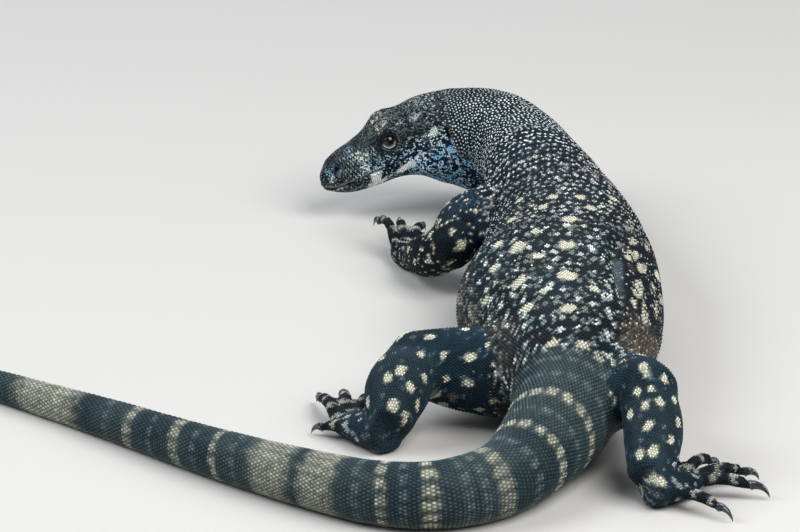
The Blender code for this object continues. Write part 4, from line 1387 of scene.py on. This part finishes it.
def limb_markings(name, run, turn, across, places):
    """Colours of an arm or a leg."""
    wobble = (cloud(places, 2.4, 23) - 0.5) * 0.45
    leg = name.startswith("leg")
    colour = np.array(LEG_BLUE if leg else SLATE)
    colour = blend(colour, SLATE, (0.5 if leg else 0.7) * ease(0.4, 0.65, cloud(places, 14, 25)))
    if leg:
        colour = blend(colour, SLATE, ease(36, 14, run + wobble * 20) * 0.8)
        colour = blend(colour, (0.035, 0.056, 0.064), between(run, 70, 100, 135, 150) * 0.45)
        faint = dots(run, across, (11, 9), (1.5, 1.4), 81, 0.8)
        colour = blend(colour, (0.16, 0.25, 0.3), faint * 0.75)
    else:
        deep = ease(56, 46, run) * ease(0.3, 0.6, cloud(places, 10, 27))
        colour = blend(colour, (0.008, 0.022, 0.045), deep)
        dashes = np.sin((run + 0.8 * across) * 2 * math.pi / 3.4)
        dashes = ease(0.35, 0.8, dashes) * ease(0.25, 0.5, cloud(places, 3, 95))
        colour = blend(colour, (0.09, 0.15, 0.22), dashes * ease(44, 30, run) * 0.8)
        colour = blend(colour, CREAM, singles(run, across, (6.5, 5.5), 85, 0.9) * 0.7)
    grain = grain_of(places, 91)
    share = LEG_SPOT_SHARE if leg else 1.0
    # Painted shade: on an arm the pale spots turn dark olive towards its shaded side, where across falls
    # below -10 mm.
    shade = ease(10, 22, -across)
    pale = np.array(CREAM) + (np.array((0.4, 0.36, 0.14)) - CREAM) * (0 if leg else shade[:, None] * 0.8)
    marks = [(at, off, half_run * share, half_across * share)
             for at, off, half_run, half_across in LEG_SPOTS[name]]
    solid = 1.0 if leg else ease(0.15, 0.4, grain)
    colour = blend(colour, pale, np.clip(spots(run, across, marks, wobble), 0, 1) * solid)
    far = dots(run, across, (14, 15), (3.0, 2.8), 87, 0.5) * ease(1.7, 2.2, np.abs(turn))
    colour = blend(colour, CREAM, np.clip(far, 0, 1) * solid * (0.8 if leg else 0.5))
    tip = 150 if leg else 108
    paw = dots(run, across, (7.5, 6.5), (1.7, 1.6), 89, 0.8) * ease(tip - 14, tip, run)
    return blend(colour, WHITE, paw * 0.7)


def toe_markings(run, turn, places):
    """Colours of a toe: black with pale bands."""
    wobble = (cloud(places, 2.0, 29) - 0.5) * 0.6
    band = np.abs(np.mod(run / 10.5 + 0.15, 1) - 0.5) * 2
    share = ease(0.34, 0.16, band + wobble * 1.3) * ease(2.2, 1.4, np.abs(turn))
    colour = np.array(TOE_BLACK)
    return blend(colour, (0.55, 0.56, 0.5), share * 0.85)


# %% Markings of the head
# Patches of the head: back and up of the middle, half sizes, tilt in degrees, how pale, colour
HEAD_PATCHES = ((28.5, 10.5, 4, 2.6, -40, 0.9, WHITE), (27.5, 2.2, 2.6, 4.5, 0, 0.8, WHITE),
                (32.5, -4, 3.4, 3, 15, 1.0, (1.0, 1.0, 0.95)),
                (31.5, -9.4, 5.2, 2.2, 8, 1.0, (1.0, 1.0, 0.92)), (6.4, 0.8, 2.6, 2.4, 0, 0.85, WHITE),
                (10.5, 7, 3.4, 3.0, 0, 0.4, BLUE), (5.5, 5.2, 2.0, 2.2, 0, 0.45, BLUE),
                (8.5, -6.4, 3.4, 1.2, 0, 0.7, WHITE), (22, 14.5, 5, 1.6, 35, 0.45, BLUE),
                (43, -6.4, 4, 1.5, 12, 0.8, WHITE), (49, -4.4, 4.5, 1.9, 18, 1.0, WHITE),
                (55, -2, 4.5, 2.1, 22, 1.0, WHITE), (61, 0.6, 4.5, 1.5, 20, 0.85, WHITE),
                (69, 2.8, 5, 1.4, 15, 0.6, WHITE), (75, 12.8, 3.6, 2.2, 25, 1.0, (0.6, 0.75, 0.66)),
                (70, 10.6, 4, 1.4, 25, 0.8, WHITE), (43.5, 22.6, 1.5, 1.8, 0, 0.5, CREAM),
                (48, 25, 2.6, 1.2, 0, 0.45, CREAM), (50, 22, 3.4, 1.3, 0, 0.4, BLUE),
                (56, 23.2, 4, 1.2, 0, 0.5, CREAM), (66, 23.6, 4, 1.3, 10, 0.4, WHITE))
VEINS = 1.7  # the size of the head's pattern of fine curls


def head_markings(places):
    """Colours of the head."""
    along, out, high = head_places(places)
    colour = np.array(HEAD_BLACK)
    veins = ease(0.12, 0.05, np.abs(cloud(places, VEINS, 33) - 0.5))
    fine = ease(0.52, 0.62, cloud(places, 1.3, 35))
    grain = grain_of(places, 37)
    flecks = np.clip(veins * ease(0.25, 0.45, grain) + (grain > 0.86), 0, 1)
    crown = ease(15, 21, high) * between(along, 22, 36, 70, 92)
    colour = blend(colour, (0.12, 0.15, 0.14), (grain > 0.6) * 0.35)
    # Paler grey-green scales scattered over the crown.
    crown_grey_scales = (grain > 0.5) * crown * (0.2 + 0.3 * ease(0.35, 0.65, cloud(places, 3, 42)))
    colour = blend(colour, (0.14, 0.18, 0.185), crown_grey_scales)
    patchy = 0.3 + 0.7 * ease(0.4, 0.65, cloud(places, 4.5, 43))
    colour = blend(colour, (0.5, 0.57, 0.5), singles(along, out, (2.1, 2.0), 44, 0.7) * crown * patchy * 0.65)
    slant = np.sin((along + high * 0.45) * 2 * math.pi / 2.2 + 4 * (cloud(places, 6, 39) - 0.5))
    bars = ease(-0.1, 0.5, slant) * (0.3 + 0.7 * fine)
    snout = between(along, 10, 16, 34, 40) * between(high, -5, -2, 12, 17)
    strong = 0.3 + 0.7 * ease(13, 26, along)
    colour = blend(colour, (0.66, 0.82, 0.8), bars * snout * strong * (0.4 + 0.6 * grain))
    tip = ease(14, 8, along) * ease(10, 6, high)
    colour = blend(colour, (0.3, 0.42, 0.48), flecks * tip * 0.45)
    chin = ease(-4.5, -6, high) * ease(45, 30, along)
    colour = blend(colour, (0.4, 0.52, 0.52), flecks * chin * 0.5)
    cheek = ease(22, 34, along) * ease(11, 6, high - (along - 40) * 0.1)
    cheek = cheek * ease(-18, -10, high + (along - 30) * 0.25)
    colour = blend(colour, (0.006, 0.014, 0.028), cheek * 0.7)
    colour = blend(colour, (0.46, 0.7, 0.86), flecks * cheek * (0.55 + 0.35 * ease(50, 62, along)))
    throat = ease(50, 62, along) * ease(5.5, -1, high)
    curls = ease(0.17, 0.09, np.abs(cloud(places, VEINS, 33) - 0.5)) * ease(0.15, 0.35, grain)
    colour = blend(colour, (0.006, 0.018, 0.045), throat * 0.8)
    colour = blend(colour, BLUE, np.maximum(flecks, curls) * throat * 0.95)
    colour = blend(colour, WHITE, veins * throat * ease(0.5, 0.7, cloud(places, 5.0, 41)) * 0.9)
    temple = ease(50, 58, along) * between(high, 2, 6, 13.5, 16.5)
    colour = blend(colour, (0.4, 0.48, 0.5), flecks * temple * 0.5)
    behind = ease(84, 90, along) * between(high, 0, 5, 12, 17)
    lines = ease(0.0, 0.5, np.sin((along + 0.3 * high) * 2 * math.pi / 2.4))
    colour = blend(colour, (0.5, 0.68, 0.66), lines * behind * 0.7)
    nape = ease(64, 84, along) * ease(10, 15, high)
    colour = blend(colour, (0.62, 0.7, 0.66), singles(along, out, (1.9, 1.8), 45, 0.5) * nape * 0.8)
    for at, up, half_run, half_up, tilt, pale, tone in HEAD_PATCHES:
        turn = math.radians(tilt)
        x = (along - at) * math.cos(turn) + (high - up) * math.sin(turn)
        y = (high - up) * math.cos(turn) - (along - at) * math.sin(turn)
        gap = np.hypot(x / half_run, y / half_up) + (cloud(places, 1.8, 47) - 0.5) * 0.9
        share = ease(1.25, 0.75, gap) * pale
        solid = 0.8 + 0.2 * grain if pale > 0.94 else 0.1 + 0.9 * flecks
        colour = blend(colour, tone, share * solid * (np.abs(out) > 2))
    x, y, z = eye_measures(places)
    ring = np.hypot(x, y)
    by_eye = (z > -2) & (ring < 9.5)
    colour = np.where(by_eye[:, None], colour * ease(4.5, 9.5, ring)[:, None] + 0.01, colour)
    rim = by_eye * ease(4.7, 4.4, ring)
    colour = blend(colour, (0.3, 0.38, 0.42), rim * ease(0.5, -2.5, y))
    fold = by_eye * bump(ring - 6.1, 0.4) * ease(3.5, -1, y - x * 0.7)
    colour = blend(colour, (0.2, 0.21, 0.19), fold * 0.6)
    gap = high - mouth_height(along)
    lip = between(gap, -0.2, 0.3, 1.3, 1.9) * between(along, 1.5, 4, 17, 24)
    colour = blend(colour, (0.36, 0.27, 0.28), lip * 0.6)
    # Darker inside the ear: partly painted shade in its pit, partly the ear's own dark scales.
    ear = ear_rings(along, out, high)
    return colour * (1 - 0.6 * ease(1.2, 0.8, ear))[:, None]


# %% Colour every scale and the skin between them
def markings(numbers, places):
    """The colour of each place, from the number of its middle line."""
    colour = np.zeros((len(places), 3))
    for number, line in enumerate(lines):
        mine = np.flatnonzero(numbers == number)
        if not len(mine):
            continue
        here = places[mine]
        run, turn, across = turns_of(line, here)
        if line is not spine_line:
            if line["name"].endswith("toe"):
                colour[mine] = toe_markings(run, turn, here)
            else:
                colour[mine] = limb_markings(line["name"], run, turn, across, here)
            continue
        trunk = trunk_markings(run, turn, across, here)
        tail = tail_markings(run, turn, across, here)
        face = head_markings(here)
        mixed = trunk + (tail - trunk) * ease(515, 535, run)[:, None]
        colour[mine] = mixed + (face - mixed) * ease(97, 86, run)[:, None]
    return colour


# The skin between the scales is darker: partly painted shade in the gaps between scales, partly the darker
# skin a real lizard has there.
SKIN_SHADE = 0.35  # the skin's brightness as a share of its scales'
tint = markings(scales[:, 3].astype(int), scale_places)
random = np.random.default_rng(5)
tint = tint * (0.82 + 0.36 * random.random(len(tint)))[:, None]
skin_at = mesh_points(skin_mesh)
near = np.array([scale_tree.find(place)[1] for place in skin_at])
skin_tint = tint[near] * SKIN_SHADE
skin_colours = skin_mesh.color_attributes.new(name="Hide", type="FLOAT_COLOR", domain="POINT")
skin_paint = np.ones((len(skin_at), 4), np.float32)
skin_paint[:, :3] = skin_tint
skin_colours.data.foreach_set("color", skin_paint.ravel())
print("mean colour", np.round(tint.mean(axis=0), 3))

# %% [markdown]
# ## The hide's finish
# Scales have a thin horny surface: satin, glossier in some places than in others, with a faint blue
# tint in the light they give back. The fine grain of the scales and of the skin comes from noise.

# %% The hide's material
def hide_material(name, roughness, bump_size, bump_height):
    """A satin hide that takes its colour from the markings."""
    material, shader = new_material(name, Specular_IOR_Level=0.12, Specular_Tint=(0.6, 0.84, 1.0, 1))
    links = material.node_tree.links
    marks = new_node(material, "Attribute")
    marks.attribute_name = "Hide"
    place = new_node(material, "TexCoord")
    blotch = new_node(material, "TexNoise", Scale=260, Detail=3)
    links.new(place.outputs["Object"], blotch.inputs["Vector"])
    weather = new_node(material, "MapRange", From_Min=0.3, From_Max=0.7, To_Min=0.8, To_Max=1.2)
    links.new(blotch.outputs["Fac"], weather.inputs["Value"])
    tinted = scaled(material, marks.outputs["Color"], weather.outputs["Result"])
    links.new(tinted, shader.inputs["Base Color"])
    gloss = new_node(material, "MapRange", To_Min=roughness - 0.08, To_Max=roughness + 0.12)
    links.new(blotch.outputs["Fac"], gloss.inputs["Value"])
    links.new(gloss.outputs["Result"], shader.inputs["Roughness"])
    grain = new_node(material, "TexNoise", Scale=bump_size, Detail=2)
    links.new(place.outputs["Object"], grain.inputs["Vector"])
    rise = new_node(material, "Bump", Strength=0.35, Distance=bump_height)
    links.new(grain.outputs["Fac"], rise.inputs["Height"])
    links.new(rise.outputs["Normal"], shader.inputs["Normal"])
    return material


horn = hide_material("scale_horn", 0.42, 1800, 0.00012)
soft = hide_material("soft_skin", 0.55, 900, 0.0002)
skin_mesh.materials.append(soft)

# %% Sow every field
# Share of its colour that a scale keeps at its edge, in each field: partly painted shade between the scales,
# partly the dark gaps round pale scales that the markings have.
RIM_TONES_AND_SHADE = {"head": 0.2, "head_far_side": 0.2, "neck": 0.08, "neck_base": 0.08,
        "chest": 0.12, "belly": 0.18, "arm_left": 0.15}
fields = part_names(scales)
total = 0
for name in sorted(set(fields)):
    rows = np.flatnonzero(fields == name)
    beads = name.startswith(("head", "neck"))
    shape = BEAD if beads else KEELED
    height = BEAD_HEIGHT if beads else KEEL_HEIGHT
    made = sow("scales_" + name, shape, rows, height, tint, RIM_TONES_AND_SHADE.get(name, PLAIN_RIM_TONE_AND_SHADE))
    made.data.materials.append(horn)
    total += len(rows) * shape[2]
    print(name, len(rows), "scales")
print(total, "triangles of scales")

# %% [markdown]
# ## Eyes
# The eyeball is a sphere with a slightly raised cornea, nearly black with a dark brown iris. It sits as
# deep as a real one: the lids above hold it, and only its front shows. It is turned to look outwards.

# %% Make the eyes
CORNEA = 0.45
PUPIL = 2.5
IRIS = 3.2
EYE_SEGMENTS = 56
EYE_RINGS = 36


def eye_material():
    """A dark wet eye: black pupil, very dark brown iris with fine mottling, and a blue-grey rim that is a
    painted reflection of the sky.
    """
    material, shader = new_material("wet_eye", Roughness=0.1, Specular_IOR_Level=0.1, Coat_Weight=0.8,
                                    Coat_Roughness=0.03)
    links = material.node_tree.links
    ring = new_node(material, "Attribute")
    ring.attribute_name = "Ring"
    ramp = new_node(material, "ValToRGB")
    # Painted reflection: the ramp turns blue-grey from the iris's edge out to the rim, standing in for the
    # sky mirrored in the eye.
    stops = ((0.0, (0.001, 0.001, 0.002)), (PUPIL, (0.001, 0.001, 0.002)),
             (PUPIL + 0.15, (0.008, 0.007, 0.007)), (IRIS - 0.3, (0.014, 0.013, 0.013)),
             (IRIS, (0.012, 0.018, 0.025)), (IRIS + 0.4, (0.04, 0.06, 0.08)),
             (EYE_RADIUS, (0.05, 0.07, 0.09)))
    elements = ramp.color_ramp.elements
    while len(elements) < len(stops):
        elements.new(0.5)
    for element, (place, colour) in zip(elements, stops):
        element.position = place / EYE_RADIUS
        element.color = (*colour, 1)
    links.new(ring.outputs["Fac"], ramp.inputs["Fac"])
    place = new_node(material, "TexCoord")
    streaks = new_node(material, "TexNoise", Scale=1500)
    links.new(place.outputs["Object"], streaks.inputs["Vector"])
    mottle = new_node(material, "MapRange", To_Min=0.6, To_Max=1.4)
    links.new(streaks.outputs["Fac"], mottle.inputs["Value"])
    mottled = scaled(material, ramp.outputs["Color"], mottle.outputs["Result"])
    links.new(mottled, shader.inputs["Base Color"])
    return material


wet_eye = eye_material()
for name, side in (("eye_left", 1), ("eye_right", -1)):
    builder = bmesh.new()
    bmesh.ops.create_uvsphere(builder, u_segments=EYE_SEGMENTS, v_segments=EYE_RINGS, radius=EYE_RADIUS * MM)
    rings = []
    for vert in builder.verts:
        off_axis = math.hypot(vert.co.x, vert.co.y) / MM
        front = vert.co.z > 0
        rings.append(off_axis / EYE_RADIUS if front else 1.0)
        if front:
            vert.co.z += CORNEA * MM * math.exp(-((off_axis / 3.2) ** 2))
    look = Vector(LEFT * side * math.cos(GAZE_LIFT) + UP * math.sin(GAZE_LIFT))
    turn = look.to_track_quat("Z", "Y").to_matrix().to_4x4()
    bmesh.ops.transform(builder, matrix=turn, verts=builder.verts)
    low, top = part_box(name)
    bmesh.ops.translate(builder, verts=builder.verts, vec=(low + top) / 2)
    mesh = bpy.data.meshes.new("eyeball_" + name)
    builder.to_mesh(mesh)
    builder.free()
    mesh.shade_smooth()
    mesh.attributes.new("Ring", "FLOAT", "POINT").data.foreach_set("value", np.array(rings, np.float32))
    mesh.materials.append(wet_eye)
    eyeball = bpy.data.objects.new("eyeball_" + name.split("_")[1], mesh)
    bpy.context.scene.collection.objects.link(eyeball)
    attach(eyeball, "root")
    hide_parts(name)
print("two eyes")

# %% [markdown]
# ## Claws
# A monitor's claws are long, curved and taller than wide, of glossy blue-black horn. Each starts as a
# ring inside the tip of its toe, and its end face is extruded step by step along a bending line while
# it narrows to a point, as a real claw grows.

# %% Make the claws
CLAW_SHARE = 0.62  # the claw's radius as a share of its toe's
CLAW_BACK = 1.2  # how many toe radii the claw starts inside the toe
CLAW_STEPS = 14
CLAW_SIDES = 12
CLAW_TALL = 1.3
CLAW_RISE = 20
CLAW_BEND = 95


def grow_claw(builder, root, heading, length, radius, knuckle, tip, claw):
    """Adds one curved claw to the mesh."""
    way = Vector(toe_way(heading))
    side = Vector((way.y, -way.x, 0))
    start = Vector(root) + way * length - way * radius * CLAW_BACK
    start.z = tip
    width = radius * CLAW_SHARE
    made = bmesh.ops.create_circle(builder, cap_ends=True, segments=CLAW_SIDES, radius=1)
    verts = made["verts"]
    centre = start
    for step in range(CLAW_STEPS + 1):
        t = step / CLAW_STEPS
        lean = math.radians(CLAW_RISE - CLAW_BEND * t)
        ahead = way * math.cos(lean) + Vector((0, 0, math.sin(lean)))
        if step:
            centre = centre + ahead * claw / CLAW_STEPS
            face = next(f for f in verts[0].link_faces if all(v in verts for v in f.verts))
            raised = bmesh.ops.extrude_face_region(builder, geom=[face])
            verts = [item for item in raised["geom"] if isinstance(item, bmesh.types.BMVert)]
            bmesh.ops.transform(builder, matrix=frame_now.inverted(), verts=verts)
        across = max(width * (1 - t) ** 0.8, 0.16)
        over = ahead.cross(side)
        frame_now = Matrix((side * across, over * across * CLAW_TALL, ahead)).transposed().to_4x4()
        frame_now.translation = centre
        bmesh.ops.transform(builder, matrix=frame_now, verts=verts)


def claw_material():
    """Glossy blue-black horn with faint streaks."""
    material, shader = new_material("claw_horn", Roughness=0.24, Coat_Weight=0.4)
    links = material.node_tree.links
    place = new_node(material, "TexCoord")
    streaks = new_node(material, "TexNoise", Scale=700, Detail=4)
    links.new(place.outputs["Object"], streaks.inputs["Vector"])
    ramp = new_node(material, "ValToRGB")
    ramp.color_ramp.elements[0].color = (0.006, 0.009, 0.014, 1)
    ramp.color_ramp.elements[1].color = (0.035, 0.05, 0.07, 1)
    ramp.color_ramp.elements[0].position = 0.35
    links.new(streaks.outputs["Fac"], ramp.inputs["Fac"])
    links.new(ramp.outputs["Color"], shader.inputs["Base Color"])
    rise = new_node(material, "Bump", Strength=0.2, Distance=0.0001)
    links.new(streaks.outputs["Fac"], rise.inputs["Height"])
    links.new(rise.outputs["Normal"], shader.inputs["Normal"])
    return material


claw_horn = claw_material()
for name, toes in toes_of.items():
    builder = bmesh.new()
    for toe in toes:
        grow_claw(builder, *toe)
    bmesh.ops.translate(builder, verts=builder.verts, vec=Vector(SHIFT))
    bmesh.ops.scale(builder, verts=builder.verts, vec=(MM, MM, MM))
    bmesh.ops.recalc_face_normals(builder, faces=builder.faces)
    mesh = bpy.data.meshes.new("claws_" + name)
    builder.to_mesh(mesh)
    builder.free()
    mesh.shade_smooth()
    mesh.materials.append(claw_horn)
    claws = bpy.data.objects.new("claws_" + name, mesh)
    bpy.context.scene.collection.objects.link(claws)
    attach(claws, "root")
print("claws on", len(toes_of), "feet")
